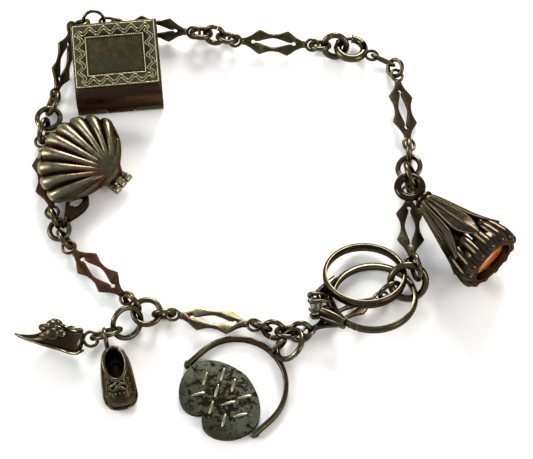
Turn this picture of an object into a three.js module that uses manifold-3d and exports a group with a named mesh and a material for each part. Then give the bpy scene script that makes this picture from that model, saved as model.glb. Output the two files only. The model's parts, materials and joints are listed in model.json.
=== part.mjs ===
// A charm bracelet lying on a table: nine flat openwork links in a closed loop, round connector rings,
// a bolt-ring clasp, and its charms. Millimetres, +Z up, X and Y along the table.
import * as THREE from "three";
import { mergeVertices } from "three/addons/utils/BufferGeometryUtils.js";
import Module from "manifold-3d";

const wasm = await Module();
wasm.setup();

// ---- driving dimensions ----
const LINK = { pitch: 12.6, width: 4.3, sheet: 0.5, eye: 2.5, hole: 1.5, neck: 1.1 };
const RING = { sides: 5, steps: 13 };
const BOOK = {
  width: 13.8,
  depth: 12.9,
  height: 5.1,
  plate: 0.6,
  cover: 0.65,
  wall: 0.6,
  hinge: 1.3,
  pin: 0.5,
  spineOut: 2.9,
  coverFrom: 2.4,
};
const SHELL = { reach: 11.6, lobes: 8, spread: 60, height: 2.3, wall: 0.55, hinge: 1.2, pin: 0.5 };
const HOOP = { across: 15.8, depth: 10.9, band: 1.1, height: 1.3 };
const HEART = { across: 13.6, sheet: 1.0, pin: 0.6 };
const BAND = { outer: 13.0, wall: 0.65, height: 1.5 };
const SOLITAIRE = { outer: 13.6, wall: 0.8, height: 1.2, stone: 3.0, head: 4.0 };
const FOB = { length: 15.6, base: 11.4, collar: 3.2, straps: 6, bail: 5.0, wire: 1.2 };
const CLASP = { outer: 5.6, wire: 1.3, gapFrom: 100, gapTo: 165, bolt: 0.6 };
const CLIP = { length: 4.9, width: 3.4, thick: 0.95 };
const PIN_PLAY = 0.35; // how much wider a hinge's bore is than its pin
const TABLE_GAP = 1.45; // the least height of a connector ring's middle
const RAD = Math.PI / 180;

// ---- finishes ----
const finish = (color, roughness) => new THREE.MeshStandardMaterial({ color, roughness, metalness: 1 });
const silver = finish(0x6e6a58, 0.38);
const darkSilver = finish(0x4a4438, 0.42);
const brightSilver = finish(0x8c8872, 0.32);
const wornDisc = finish(0x6f7664, 0.5);
const carnelian = new THREE.MeshStandardMaterial({ color: 0xb4501e, roughness: 0.2, metalness: 0 });
const clearStone = new THREE.MeshStandardMaterial({ color: 0xe8ecec, roughness: 0.05, metalness: 0 });

// ---- solids ----
function solidOf(geometry) {
  const bare = geometry.index ? geometry.toNonIndexed() : geometry.clone();
  bare.deleteAttribute("normal");
  bare.deleteAttribute("uv");
  const merged = mergeVertices(bare, 1e-4);
  const triVerts = new Uint32Array(merged.index.array);
  return new wasm.Manifold(
    new wasm.Mesh({ numProp: 3, vertProperties: merged.attributes.position.array, triVerts }),
  );
}

function geometryOf(solid) {
  const mesh = solid.getMesh();
  const geometry = new THREE.BufferGeometry();
  geometry.setAttribute("position", new THREE.BufferAttribute(new Float32Array(mesh.vertProperties), 3));
  geometry.setIndex(new THREE.BufferAttribute(new Uint32Array(mesh.triVerts), 1));
  return geometry;
}

const join = (...parts) => geometryOf(parts.map(solidOf).reduce((a, b) => a.add(b)));
const cut = (body, ...tools) => geometryOf(tools.map(solidOf).reduce((a, b) => a.subtract(b), solidOf(body)));

// A box from its centre and sizes.
const block = (w, d, h, x = 0, y = 0, z = 0) => new THREE.BoxGeometry(w, d, h).translate(x, y, z);

// A round bar along +X, centred.
const barX = (diameter, length, sides = 10) =>
  new THREE.CylinderGeometry(diameter / 2, diameter / 2, length, sides).rotateZ(90 * RAD);

// A flat round-wire ring about +Z.
const wireRing = (outer, wire, sides = RING.sides, steps = RING.steps) =>
  new THREE.TorusGeometry((outer - wire) / 2, wire / 2, sides, steps);

// A straight-walled ring about +Z.
function bandRing(outer, wall, height, steps = 36) {
  const inner = outer / 2 - wall;
  const h = height / 2;
  const profile = [
    [inner, -h],
    [outer / 2, -h * 0.75],
    [outer / 2, h * 0.75],
    [inner, h],
    [inner, -h],
  ];
  return new THREE.LatheGeometry(profile.map(([r, y]) => new THREE.Vector2(r, y)), steps).rotateX(90 * RAD);
}

// A sheet cut to an outline in X and Y, centred on its thickness.
function sheetOf(shape, thickness, curveSegments = 6) {
  return new THREE.ExtrudeGeometry(shape, { depth: thickness, bevelEnabled: false, curveSegments })
    .translate(0, 0, -thickness / 2);
}

// A closed skin through rows of points; the first and last rows are single points at the poles.
function skin(rows, firstPole, lastPole) {
  const count = rows[0].length;
  const points = [firstPole, ...rows.flat(), lastPole];
  const at = (row, i) => 1 + row * count + ((i + count) % count);
  const index = [];
  for (let i = 0; i < count; i++) {
    index.push(0, at(0, i), at(0, i + 1));
    index.push(points.length - 1, at(rows.length - 1, i + 1), at(rows.length - 1, i));
    for (let row = 0; row + 1 < rows.length; row++) {
      index.push(at(row, i), at(row + 1, i), at(row, i + 1));
      index.push(at(row, i + 1), at(row + 1, i), at(row + 1, i + 1));
    }
  }
  const geometry = new THREE.BufferGeometry().setFromPoints(points);
  geometry.setIndex(index);
  return geometry;
}

// A flat arc about +Z, angles in degrees.
class ArcPath extends THREE.Curve {
  constructor(radius, from, to) {
    super();
    Object.assign(this, { radius, from, to });
  }
  getPoint(t, target = new THREE.Vector3()) {
    const angle = (this.from + (this.to - this.from) * t) * RAD;
    return target.set(this.radius * Math.cos(angle), this.radius * Math.sin(angle), 0);
  }
}

// ---- placing ----
const bracelet = new THREE.Group();

function piece(parent, name, geometry, material) {
  const mesh = new THREE.Mesh(geometry, material);
  mesh.name = name;
  parent.add(mesh);
  return mesh;
}

// Turns an object: heading about +Z, then its nose up by pitch, then a roll about its own +X, in degrees.
function place(object, x, y, z, heading = 0, pitch = 0, roll = 0) {
  object.position.set(x, y, z);
  object.rotation.set(roll * RAD, -pitch * RAD, heading * RAD, "ZYX");
  return object;
}

function frameAt(...placing) {
  const group = place(new THREE.Group(), ...placing);
  bracelet.add(group);
  return group;
}

// ---- flat openwork links ----
function linkGeometry() {
  const { pitch, width, sheet, eye, hole, neck } = LINK;
  const end = pitch / 2;
  const edge = [
    [end - 1.0, neck / 2],
    [end - 1.9, 0.75],
    [2.3, width / 2],
    [0, 1.35],
  ];
  const side = [...edge, ...edge.slice(0, -1).reverse().map(([x, y]) => [-x, y])];
  const outline = [...side, ...side.map(([x, y]) => [-x, -y])];
  const body = new THREE.Shape(outline.map(([x, y]) => new THREE.Vector2(x, y)));
  const opening = [
    [3.9, 0.4],
    [3.4, 0.4],
    [2.9, 0.22],
    [1.7, 0.5],
    [0.25, 0.95],
  ];
  const half = [...opening, ...opening.slice().reverse().map(([x, y]) => [-x, y])];
  const window = [...half, ...half.map(([x, y]) => [-x, -y])];
  body.holes.push(new THREE.Path(window.map(([x, y]) => new THREE.Vector2(x, y))));
  const eyelet = new THREE.Shape().absarc(0, 0, eye / 2, 0, 2 * Math.PI);
  const bore = new THREE.Shape().absarc(0, 0, hole / 2, 0, 2 * Math.PI);
  const eyes = [-end, end].map((x) => sheetOf(eyelet, sheet, 7).translate(x, 0, 0));
  const bores = [-end, end].map((x) => sheetOf(bore, 2 * sheet, 5).translate(x, 0, 0));
  return cut(join(sheetOf(body, sheet), ...eyes), ...bores);
}

const LINKS = [
  { name: "link_1", x: -18.2, y: 35.0, z: 2.1, heading: -7, pitch: 0, roll: 58 },
  { name: "link_2", x: 1.1, y: 32.4, z: 2.0, heading: -4, pitch: 0, roll: 52 },
  { name: "link_3", x: 21.9, y: 20.5, z: 1.4, heading: -83, pitch: 0, roll: -24 },
  { name: "link_4", x: 22.4, y: -0.3, z: 1.75, heading: -90, pitch: 4, roll: -4 },
  { name: "link_5", x: 12.0, y: -14.8, z: 1.7, heading: -153, pitch: 0, roll: 35 },
  { name: "link_6", x: -8.1, y: -15.7, z: 1.3, heading: 172, pitch: 0, roll: 8 },
  { name: "link_7", x: -26.1, y: -7.9, z: 1.3, heading: 137, pitch: 0, roll: -5 },
  { name: "link_8", x: -34.7, y: 8.5, z: 1.4, heading: 100, pitch: 0, roll: 0 },
  { name: "link_9", x: -32.9, y: 28.9, z: 2.0, heading: 80, pitch: 0, roll: 55 },
];

const linkShape = linkGeometry();
const links = {};
for (const { name, x, y, z, heading, pitch, roll } of LINKS) {
  links[name] = place(piece(bracelet, name, linkShape, silver), x, y, z, heading, pitch, roll);
}

// The middle of a link's eyelet, at its tail (-1) or nose (+1).
function eyelet(name, end) {
  links[name].updateMatrixWorld(true);
  return links[name].localToWorld(new THREE.Vector3((end * LINK.pitch) / 2, 0, 0));
}

// ---- connector rings ----
// A run of rings from one point to the next, each linked through the one before it. A bow bends the
// run to its left, in millimetres at its middle.
function ringRun(from, to, bow, rows) {
  const inner = rows.map(({ outer, wire }) => outer / 2 - wire);
  const mean = rows.map(({ outer, wire }) => (outer - wire) / 2);
  const steps = rows.map((row, i) => (i ? inner[i - 1] + inner[i] : 0.95 * mean[0]));
  const whole = steps.reduce((a, b) => a + b, 0) + 0.95 * mean[mean.length - 1];
  const way = to.clone().sub(from);
  const aside = new THREE.Vector3(-way.y, way.x, 0).normalize().multiplyScalar(2 * bow);
  const route = new THREE.QuadraticBezierCurve3(from, from.clone().lerp(to, 0.5).add(aside), to);
  let done = 0;
  rows.forEach(({ name, outer, wire, roll, lift = 0 }, i) => {
    done += steps[i];
    const at = route.getPointAt(done / whole);
    const along = route.getTangentAt(done / whole);
    const heading = Math.atan2(along.y, along.x) / RAD;
    const lowest = ((outer - wire) / 2) * Math.abs(Math.sin(roll * RAD)) + wire / 2;
    const ring = piece(bracelet, name, wireRing(outer, wire), silver);
    place(ring, at.x, at.y, Math.max(at.z, lowest + 0.02, TABLE_GAP) + lift, heading, 0, roll);
  });
}

const small = (name, roll) => ({ name, outer: 3.5, wire: 0.6, roll });
const large = (name, roll) => ({ name, outer: 4.15, wire: 0.65, roll });

ringRun(eyelet("link_1", 1), eyelet("link_2", -1), 0.3, [
  small("ring_1a", -32),
  small("ring_1b", 62),
  small("ring_1c", -38),
]);
ringRun(eyelet("link_3", 1), eyelet("link_4", -1), 0, [
  large("ring_3a", 95),
  { ...large("ring_3b", 22), lift: 0.55 },
  small("ring_3c", -75),
]);
ringRun(eyelet("link_5", 1), eyelet("link_6", -1), 0.6, [
  small("ring_5a", -52),
  small("ring_5b", 42),
  small("ring_5c", -60),
  { name: "ring_5d", outer: 3.3, wire: 0.62, roll: 78 },
]);
ringRun(eyelet("link_6", 1), eyelet("link_7", -1), 1.2, [
  small("ring_6a", 84),
  { name: "ring_6b", outer: 4.6, wire: 0.65, roll: 3, lift: 0.35 },
  small("ring_6c", -80),
]);
ringRun(eyelet("link_7", 1), eyelet("link_8", -1), 0.2, [
  small("ring_7a", 68),
  small("ring_7b", -6),
  small("ring_7c", 80),
]);
ringRun(eyelet("link_8", 1), eyelet("link_9", -1), 0, [
  large("ring_8a", 82),
  large("ring_8b", 0),
  large("ring_8c", -62),
]);
ringRun(eyelet("link_9", 1), eyelet("link_1", -1), 1.0, [
  small("ring_9a", -45),
  large("ring_9b", 48),
  { ...small("ring_9c", -34), outer: 3.7 },
]);

// ---- bolt-ring clasp and the rings beside it ----
const CLASP_PLACE = [13.75, 31.35, 1.9, -17, 0, -13];
ringRun(eyelet("link_2", 1), new THREE.Vector3(12.8, 31.76, 2.0), 0, [
  { name: "ring_2a", outer: 3.4, wire: 0.6, roll: -38 },
  { name: "ring_2b", outer: 4.3, wire: 0.8, roll: 50 },
]);

function clasp() {
  const { outer, wire, gapFrom, gapTo, bolt } = CLASP;
  const mean = (outer - wire) / 2;
  const tube = (radius, from, to) => {
    const section = new THREE.Shape().absarc(0, 0, radius, 0, 2 * Math.PI);
    return new THREE.ExtrudeGeometry(section, {
      steps: Math.ceil((to - from) / 16),
      extrudePath: new ArcPath(mean, from, to),
      curveSegments: 4,
      bevelEnabled: false,
    });
  };
  const frame = frameAt(...CLASP_PLACE);
  const bore = tube(bolt / 2 + 0.15, -12, gapFrom + 6);
  const slot = tube(0.4, -6, 54).translate(0, 0, 0.6);
  const eye = wireRing(2.5, 0.5, 6, 10).translate(outer / 2 + 0.8, 0, 0).rotateZ(-4 * RAD);
  const body = cut(tube(wire / 2, gapTo, 360 + gapFrom), bore, slot);
  piece(frame, "clasp_body", join(body, eye), silver);
  const nub = new THREE.CylinderGeometry(0.26, 0.26, 0.9, 8).rotateX(90 * RAD).translate(mean, 0, 0.6);
  piece(frame, "clasp_bolt", join(tube(bolt / 2, 36, gapTo - 6), nub.rotateZ(45 * RAD)), brightSilver);
}

clasp();

function stadium(half, radius) {
  const shape = new THREE.Shape();
  shape.absarc(half, 0, radius, -90 * RAD, 90 * RAD, false);
  shape.absarc(-half, 0, radius, 90 * RAD, 270 * RAD, false);
  return shape;
}
const oblong = stadium(1.07, 1.15);
oblong.holes.push(stadium(1.07, 0.65));
place(piece(bracelet, "oblong_ring", sheetOf(oblong, 0.6, 7), silver), 18.95, 29.3, 1.7, -25, -7, -71);
place(piece(bracelet, "ring_2c", wireRing(3.0, 0.5), silver), 20.85, 27.95, 1.65, -65, -3, 43);

// ---- rings that carry charms ----
const CHARM_RINGS = [
  { name: "ring_4a", outer: 4.4, wire: 0.6, at: [22.92, -7.83, 3.5], turned: [-67, 45, 80] },
  { name: "thick_ring", outer: 6.1, wire: 0.95, at: [21.75, -10.0, 2.7], turned: [2, 0, 39] },
  { name: "ring_4b", outer: 3.8, wire: 0.6, at: [18.92, -11.2, 2.0], turned: [30, 8, 80] },
  { name: "fob_ring", outer: 5.0, wire: 0.65, at: [22.9, 7.6, 3.4], turned: [-92, 39, -61] },
  { name: "spinner_ring", outer: 5.4, wire: 0.7, at: [3.5, -20.35, 2.95], turned: [67, 6, -42] },
  { name: "shoes_ring", outer: 5.3, wire: 0.7, at: [-21.25, -16.6, 2.15], turned: [44, 0, 51] },
  { name: "slipper_ring", outer: 4.9, wire: 0.55, at: [-24.3, -18.55, 2.9], turned: [18, 2, -59] },
];
for (const { name, outer, wire, at, turned } of CHARM_RINGS) {
  place(piece(bracelet, name, wireRing(outer, wire, 6, 16), silver), ...at, ...turned);
}

// ---- book locket ----
// Its own frame: X along the spine, Y from the hinge to the fore edge, Z up from the back plate.
function book() {
  const { width, depth, height, plate, cover, wall, hinge, pin, spineOut, coverFrom } = BOOK;
  const frame = frameAt(-23.5, 21.6, 0.15, 5.5, 0, 16);
  const axis = { y: -0.35, z: hinge / 2 };
  const spineRise = height - hinge - 0.2;
  const third = width / 3;
  const trayHeight = height - cover - 0.15;
  const trayDepth = depth - coverFrom - 0.6;
  const trayWidth = width - 1.0;
  const trayY = coverFrom + 0.2 + trayDepth / 2;
  const tray = cut(
    block(trayWidth, trayDepth, trayHeight, 0, trayY, trayHeight / 2),
    block(trayWidth - 2 * wall, trayDepth - 2 * wall, height, 0, trayY, plate + height / 2),
  );
  const knuckle = (x, length) => barX(hinge, length, 10).translate(x, axis.y, axis.z);
  const leaf = (x, length) => block(length, 1.4, plate, x, 0.5, plate / 2);
  const back = block(width, depth - 0.4, plate, 0, 0.4 + (depth - 0.4) / 2, plate / 2);
  const base = join(
    cut(back, block(third + 0.4, 1.6, 2, 0, 0.3, 0)),
    tray,
    knuckle(-third, third),
    knuckle(third, third),
    leaf(-third, third),
    leaf(third, third),
    barX(pin, width - 1, 8).translate(0, axis.y, axis.z),
  );
  piece(frame, "book_base", base, darkSilver);

  const spine = new THREE.Shape();
  const low = height - spineRise;
  spine.moveTo(-depth, height);
  spine.lineTo(-coverFrom, height);
  spine.absellipse(-coverFrom, low, spineOut, spineRise, 90 * RAD, 0, true);
  spine.lineTo(-coverFrom + spineOut - cover, low);
  spine.absellipse(-coverFrom, low, spineOut - cover, spineRise - cover, 0, 90 * RAD, false);
  spine.lineTo(-depth, height - cover);
  const sheet = new THREE.ExtrudeGeometry(spine, { depth: width, bevelEnabled: false, curveSegments: 7 })
    .translate(0, 0, -width / 2)
    .applyMatrix4(new THREE.Matrix4().set(0, 0, -1, 0, -1, 0, 0, 0, 0, 1, 0, 0, 0, 0, 0, 1));
  const web = block(third - 0.4, 0.5, 1.2, 0, -0.3, low - 0.35);
  const pinHole = barX(pin + PIN_PLAY, third, 8).translate(0, axis.y, axis.z);
  const bored = cut(join(web, knuckle(0, third - 0.4)), pinHole);
  piece(frame, "book_lid", join(sheet, bored), silver);
}
book();

// ---- scallop shell locket ----
// Its own frame: X from the hinge to the far lobes, Y across, Z up from the parting plane.
function shellEdge(angle) {
  const { reach, lobes, spread } = SHELL;
  const away = Math.abs(angle);
  const fan = reach * (1 - 0.2 * (Math.min(away, spread) / spread) ** 2);
  const scallop = 0.45 * Math.abs(Math.sin(((angle + spread) / (2 * spread)) * lobes * Math.PI));
  if (away <= spread) return fan - 0.45 + scallop;
  const fall = Math.min((away - spread) / 55, 1);
  return 2.5 + (fan - 0.45 - 2.5) * (1 - Math.sin((fall * Math.PI) / 2)) ** 1.3;
}

function shellHalf(height) {
  const { wall, lobes, spread } = SHELL;
  const angles = [];
  for (let angle = -180; angle < 180; angle += Math.abs(angle + 0.1) < spread ? 7.5 : 15) angles.push(angle);
  const ribAt = (angle) => {
    if (Math.abs(angle) > spread) return 0.4;
    return Math.abs(Math.sin(((angle + spread) / (2 * spread)) * lobes * Math.PI));
  };
  const profile = [
    { share: 0.25, rise: 0.97, rib: 0.0 },
    { share: 0.55, rise: 0.82, rib: 0.3 },
    { share: 0.82, rise: 0.52, rib: 0.45 },
    { share: 1.0, rise: 0.14, rib: 0.12 },
  ];
  const ring = (share, z) => angles.map((angle) => {
    const r = share * shellEdge(angle);
    return new THREE.Vector3(r * Math.cos(angle * RAD), r * Math.sin(angle * RAD), z(angle));
  });
  const outside = profile.map(({ share, rise, rib }) =>
    ring(share, (angle) => height * rise + rib * (ribAt(angle) - 0.5)),
  );
  const inside = [
    ring(1.0, () => 0.06),
    ring(0.88, () => 0.06),
    ring(0.7, () => height * 0.66 - wall),
    ring(0.3, () => height * 0.92 - wall),
  ];
  const top = new THREE.Vector3(0, 0, height);
  return skin([...outside, ...inside], top, new THREE.Vector3(0, 0, height - wall));
}

function shell() {
  const { height, hinge, pin } = SHELL;
  const frame = frameAt(-25.3, 9.0, 2.5, 143, 9, 0);
  const at = -3.3;
  const third = 1.3;
  const knuckle = (y, length) => barX(hinge, length, 8).rotateZ(90 * RAD).translate(at, y, 0);
  const hole = barX(pin + PIN_PLAY, 3, 8).rotateZ(90 * RAD).translate(at, 0, 0);
  const lug = (y, z, length) => block(1.3, length, 0.5, at + 0.9, y, z);
  const lower = shellHalf(height).rotateX(180 * RAD);
  const base = join(
    lower,
    knuckle(-third, third - 0.2),
    knuckle(third, third - 0.2),
    lug(-third, -0.35, third - 0.2),
    lug(third, -0.35, third - 0.2),
    barX(pin, 3.4, 8).rotateZ(90 * RAD).translate(at, 0, 0),
  );
  const eye = wireRing(2.7, 0.45, 6, 12).rotateX(90 * RAD).rotateZ(-83 * RAD).translate(0.77, 4.7, -1.25);
  piece(frame, "shell_base", join(base, eye), silver);
  const upper = join(cut(join(knuckle(0, third - 0.2), lug(0, 0.35, third - 0.2)), hole), shellHalf(height));
  piece(frame, "shell_lid", upper, brightSilver);
}
shell();

// ---- lobster clip under the shell ----
// Its own frame: X from the base eye to the claw, flat in X and Y.
function clip() {
  const { length, width, thick } = CLIP;
  const frame = frameAt(-31.0, 1.35, 1.6, 63, -3, 2);
  const round = width / 2;
  const outline = new THREE.Shape();
  outline.moveTo(-0.4, 0.5);
  outline.quadraticCurveTo(1.0, round, length - round, round);
  outline.absarc(length - round, 0, round, 90 * RAD, -90 * RAD, true);
  outline.quadraticCurveTo(1.0, -round, -0.4, -0.5);
  const hole = new THREE.Shape().absellipse(length - 2.1, 0, 1.6, 1.1, 0, 2 * Math.PI);
  const gap = block(2.2, 1.6, 3, 2.8, round, 0);
  const eye = new THREE.CylinderGeometry(1.15, 1.15, 0.75, 12).translate(-0.9, 0, 0);
  const eyeBore = new THREE.CylinderGeometry(0.75, 0.75, 2, 10).translate(-0.9, 0, 0);
  const body = cut(join(sheetOf(outline, thick, 6), eye), sheetOf(hole, 3, 8), gap, eyeBore);
  piece(frame, "clip_body", body, darkSilver);
  const lever = new THREE.Shape();
  lever.moveTo(1.85, 1.05);
  lever.lineTo(3.75, 1.1);
  lever.lineTo(3.75, 1.55);
  lever.lineTo(2.5, 1.8);
  lever.lineTo(1.85, 1.6);
  piece(frame, "clip_lever", sheetOf(lever, 0.8, 4), silver);
}
clip();

// ---- pointed slipper and baby bootee ----
// A shoe is lofted through sections along X, from heel to toe: each is an oval of its own width and
// height, standing on the sole.
function shoeSkin(sections, count = 14) {
  const rows = sections.map(({ x, y = 0, low, high, width }) => {
    const row = [];
    for (let i = 0; i < count; i++) {
      const angle = (2 * Math.PI * i) / count;
      const flat = Math.sin(angle) < 0 ? 0.55 : 1;
      const mid = low + (high - low) * 0.4;
      const reach = Math.sin(angle) < 0 ? mid - low : high - mid;
      const side = Math.sign(Math.cos(angle)) * Math.abs(Math.cos(angle)) ** flat;
      row.push(new THREE.Vector3(x, y - (side * width) / 2, mid + reach * Math.sin(angle)));
    }
    return row;
  });
  const middle = (row) => row.reduce((sum, p) => sum.add(p), new THREE.Vector3()).divideScalar(row.length);
  return skin(rows, middle(rows[0]), middle(rows[rows.length - 1]));
}

function slipper() {
  const frame = frameAt(-27.9, -21.95, 1.95, 164, 1, 65);
  const body = shoeSkin([
    { x: 0.3, low: 0.3, high: 3.0, width: 1.7 },
    { x: 1.2, low: 0.05, high: 3.4, width: 2.7 },
    { x: 3.4, low: 0.1, high: 3.0, width: 3.0 },
    { x: 5.4, low: 0.1, high: 2.9, width: 3.5 },
    { x: 7.8, low: 0.0, high: 2.2, width: 3.1 },
    { x: 9.8, low: 0.1, high: 1.4, width: 1.8 },
    { x: 11.0, low: 0.4, high: 0.9, width: 0.5 },
  ]);
  const opening = new THREE.SphereGeometry(1, 12, 6).scale(1.9, 1.0, 2.2).translate(2.9, 0, 3.2);
  const bow = new THREE.SphereGeometry(1, 10, 6).scale(1.5, 1.9, 1.1).translate(5.9, 0, 2.9);
  const loop = wireRing(2.7, 0.5, 6, 12).rotateX(90 * RAD).translate(-0.6, 0, 2.9);
  piece(frame, "slipper", join(cut(body, opening), bow, loop), darkSilver);
}
slipper();

function bootee() {
  const frame = frameAt(-23.1, -22.1, 0.3, -79, 0, 0);
  const body = shoeSkin([
    { x: -0.9, low: 0.3, high: 5.0, width: 2.8 },
    { x: 0.0, low: 0.0, high: 5.4, width: 4.0 },
    { x: 2.2, low: 0.0, high: 5.3, width: 4.6 },
    { x: 4.4, low: 0.0, high: 4.9, width: 5.0 },
    { x: 5.8, low: 0.0, high: 3.6, width: 5.1 },
    { x: 7.2, low: 0.1, high: 2.6, width: 4.2 },
    { x: 8.0, low: 0.5, high: 1.7, width: 2.2 },
  ]);
  const opening = new THREE.CylinderGeometry(1.45, 1.3, 4.0, 14).rotateX(90 * RAD).scale(1.65, 1, 1);
  const handle = wireRing(3.5, 0.65, 6, 14).rotateX(90 * RAD).translate(-2.35, -0.7, 4.0);
  piece(frame, "bootee", join(cut(body, opening.translate(2.4, 0, 4.3)), handle), darkSilver);
}
bootee();

// ---- heart spinner ----
// Its own frame: X along the spinning axis, Y towards the top of the hoop, flat on the table.
function spinner() {
  const { across, depth, band, height } = HOOP;
  const frame = frameAt(-6.75, -28.2, 0.65, -47, 0, 0);
  const half = across / 2;
  const rise = depth - half;
  const hoop = new THREE.Shape();
  hoop.moveTo(half, -0.7);
  hoop.lineTo(half, rise);
  hoop.absarc(0, rise, half, 0, Math.PI, false);
  hoop.lineTo(-half, -0.7);
  hoop.lineTo(-half + band, -0.7);
  hoop.lineTo(-half + band, rise);
  hoop.absarc(0, rise, half - band, Math.PI, 0, true);
  hoop.lineTo(half - band, -0.7);
  const eye = wireRing(3.1, 0.55, 6, 12).rotateY(90 * RAD).translate(0, depth + 1.0, 0.95);
  const pins = [-1, 1].map((end) => barX(0.6, 1.9, 8).translate(end * (half - 0.75), 0, 0));
  piece(frame, "spinner_hoop", join(sheetOf(hoop, height, 12), eye, ...pins), silver);

  const reach = HEART.across / 2;
  const heart = new THREE.Shape();
  heart.moveTo(0, 5.1);
  heart.bezierCurveTo(3.2, 4.8, 6.4, 3.2, reach, 0.4);
  heart.bezierCurveTo(reach + 0.6, -3.6, 2.2, -7.6, 0, -3.9);
  heart.bezierCurveTo(-2.2, -7.6, -reach - 0.6, -3.6, -reach, 0.4);
  heart.bezierCurveTo(-6.4, 3.2, -3.2, 4.8, 0, 5.1);
  const socket = barX(HEART.pin + 0.5, 2.2, 8);
  const sockets = [-1, 1].map((end) => socket.clone().translate(end * reach, 0, 0));
  piece(frame, "spinner_heart", cut(sheetOf(heart, HEART.sheet, 7), ...sockets), wornDisc);
}
spinner();

// ---- finger rings ----
function fingerRings() {
  const { outer, wall, height } = BAND;
  place(piece(bracelet, "band_ring", bandRing(outer, wall, height), silver), 15.1, -9.2, 3.3, 0, 0, -21);

  const frame = frameAt(16.4, -12.6, 2.6, 8, 0, -18);
  const radius = SOLITAIRE.outer / 2;
  const inner = radius - SOLITAIRE.wall;
  const shank = bandRing(SOLITAIRE.outer, SOLITAIRE.wall, SOLITAIRE.height);
  // A cone along X, from its radius towards the shank to its radius towards the crown.
  const cone = (back, crown, length, x) =>
    new THREE.CylinderGeometry(crown, back, length, 12).rotateZ(90 * RAD).translate(x, 0, 0);
  const head = cone(1.6, SOLITAIRE.head / 2, 2.2, -radius - 0.95);
  const seat = cone(1.3, 1.8, 2.4, -radius - 1.75);
  const bore = new THREE.CylinderGeometry(inner, inner, 5, 36).rotateX(90 * RAD);
  piece(frame, "solitaire_ring", cut(join(shank, head), seat, bore), silver);
  const girdle = SOLITAIRE.stone / 2;
  const cutStone = [
    [0, -1.3],
    [girdle, 0],
    [girdle - 0.5, 0.55],
    [0, 0.55],
  ];
  const stone = new THREE.LatheGeometry(cutStone.map(([r, y]) => new THREE.Vector2(r, y)), 12);
  piece(frame, "solitaire_stone", stone.rotateZ(90 * RAD).translate(-radius - 2.0, 0, 0), clearStone);
}
fingerRings();

// ---- fob seal ----
// Its own frame: X from the bail to the base.
function fob() {
  const { length, base, collar, straps, bail, wire } = FOB;
  const frame = frameAt(22.3, 5.3, 4.5, -48, 5, 0);
  const turn = (profile, steps = 18) =>
    new THREE.LatheGeometry(profile.map(([r, y]) => new THREE.Vector2(r, y)), steps).rotateZ(-90 * RAD);
  const neck = 3.4;
  const foot = neck + length - 4.2;
  const end = foot + 3.6;
  const cage = turn([
    [0, neck - 0.9],
    [collar / 2, neck - 0.5],
    [collar / 2, neck + 0.6],
    [1.7, neck + 1.4],
    [base / 2 - 1.5, foot],
    [base / 2, foot + 1.1],
    [base / 2, end - 1.0],
    [base / 2 - 0.8, end],
    [base / 2 - 1.9, end],
    [base / 2 - 1.9, foot + 0.7],
    [base / 2 - 2.3, foot],
    [1.0, neck + 2.4],
    [0, neck + 2.0],
  ]);
  const slots = [];
  for (let i = 0; i < straps; i++) {
    const slot = new THREE.CylinderGeometry(0.5, 1.25, 7.4, 6).rotateZ(-90 * RAD);
    slots.push(slot.translate(neck + 5.6, 0, 3.4).rotateX(((360 / straps) * (i + 0.5)) * RAD));
  }
  const ringTop = wireRing(bail, wire, 8, 16).translate(0.1, 0, 0);
  piece(frame, "fob_body", join(cut(cage, ...slots), ringTop), darkSilver);
  const seal = base / 2 - 2.3;
  const stone = turn([
    [0, foot + 1.3],
    [seal, foot + 1.3],
    [seal, end + 0.3],
    [0, end + 0.8],
  ]);
  piece(frame, "fob_stone", stone, carnelian);
}
fob();

// The origin is the middle of the whole bracelet, on the table.
bracelet.updateMatrixWorld(true);
const box = new THREE.Box3().setFromObject(bracelet, true);
bracelet.position.set(-(box.min.x + box.max.x) / 2, -(box.min.y + box.max.y) / 2, -box.min.z);

export default bracelet;
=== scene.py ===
"""A charm bracelet lying on a pale surface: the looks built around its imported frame.

Each sub-assembly is a class that models its pieces in millimetres about its own origin and puts
them where their CAD nodes lie, in metres.
"""

import json
import logging
import math
from collections.abc import Callable, Iterable, Iterator, Sequence
from contextlib import contextmanager
from dataclasses import dataclass
from enum import Enum
from typing import Protocol

import bpy
from mathutils import Matrix, Vector

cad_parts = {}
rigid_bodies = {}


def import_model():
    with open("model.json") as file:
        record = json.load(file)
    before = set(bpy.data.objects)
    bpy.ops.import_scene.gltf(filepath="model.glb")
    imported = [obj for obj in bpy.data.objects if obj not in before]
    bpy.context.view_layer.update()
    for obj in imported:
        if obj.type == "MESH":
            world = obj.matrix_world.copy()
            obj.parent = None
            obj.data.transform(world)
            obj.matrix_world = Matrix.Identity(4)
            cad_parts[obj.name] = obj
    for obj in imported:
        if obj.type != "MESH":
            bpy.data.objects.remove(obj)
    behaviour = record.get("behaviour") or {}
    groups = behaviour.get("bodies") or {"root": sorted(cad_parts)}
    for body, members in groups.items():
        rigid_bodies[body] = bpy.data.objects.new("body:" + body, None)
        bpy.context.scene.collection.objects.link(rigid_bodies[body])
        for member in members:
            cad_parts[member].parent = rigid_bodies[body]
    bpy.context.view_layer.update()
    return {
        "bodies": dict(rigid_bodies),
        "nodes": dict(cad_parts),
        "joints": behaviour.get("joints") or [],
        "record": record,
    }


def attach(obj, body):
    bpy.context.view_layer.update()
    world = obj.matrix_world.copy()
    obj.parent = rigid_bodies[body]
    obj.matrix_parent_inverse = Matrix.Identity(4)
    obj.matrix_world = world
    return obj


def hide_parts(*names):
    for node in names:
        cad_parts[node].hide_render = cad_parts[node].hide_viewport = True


LOG = logging.getLogger("bracelet")
MM = 0.001
TAU = 2 * math.pi
SIDES = (-1, 1)
Piece = bpy.types.Object
Socket = bpy.types.NodeSocket
Point = tuple[float, float, float]
Flat = tuple[float, float]
Outline = list[Flat]
Colour = tuple[float, float, float]
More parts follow.
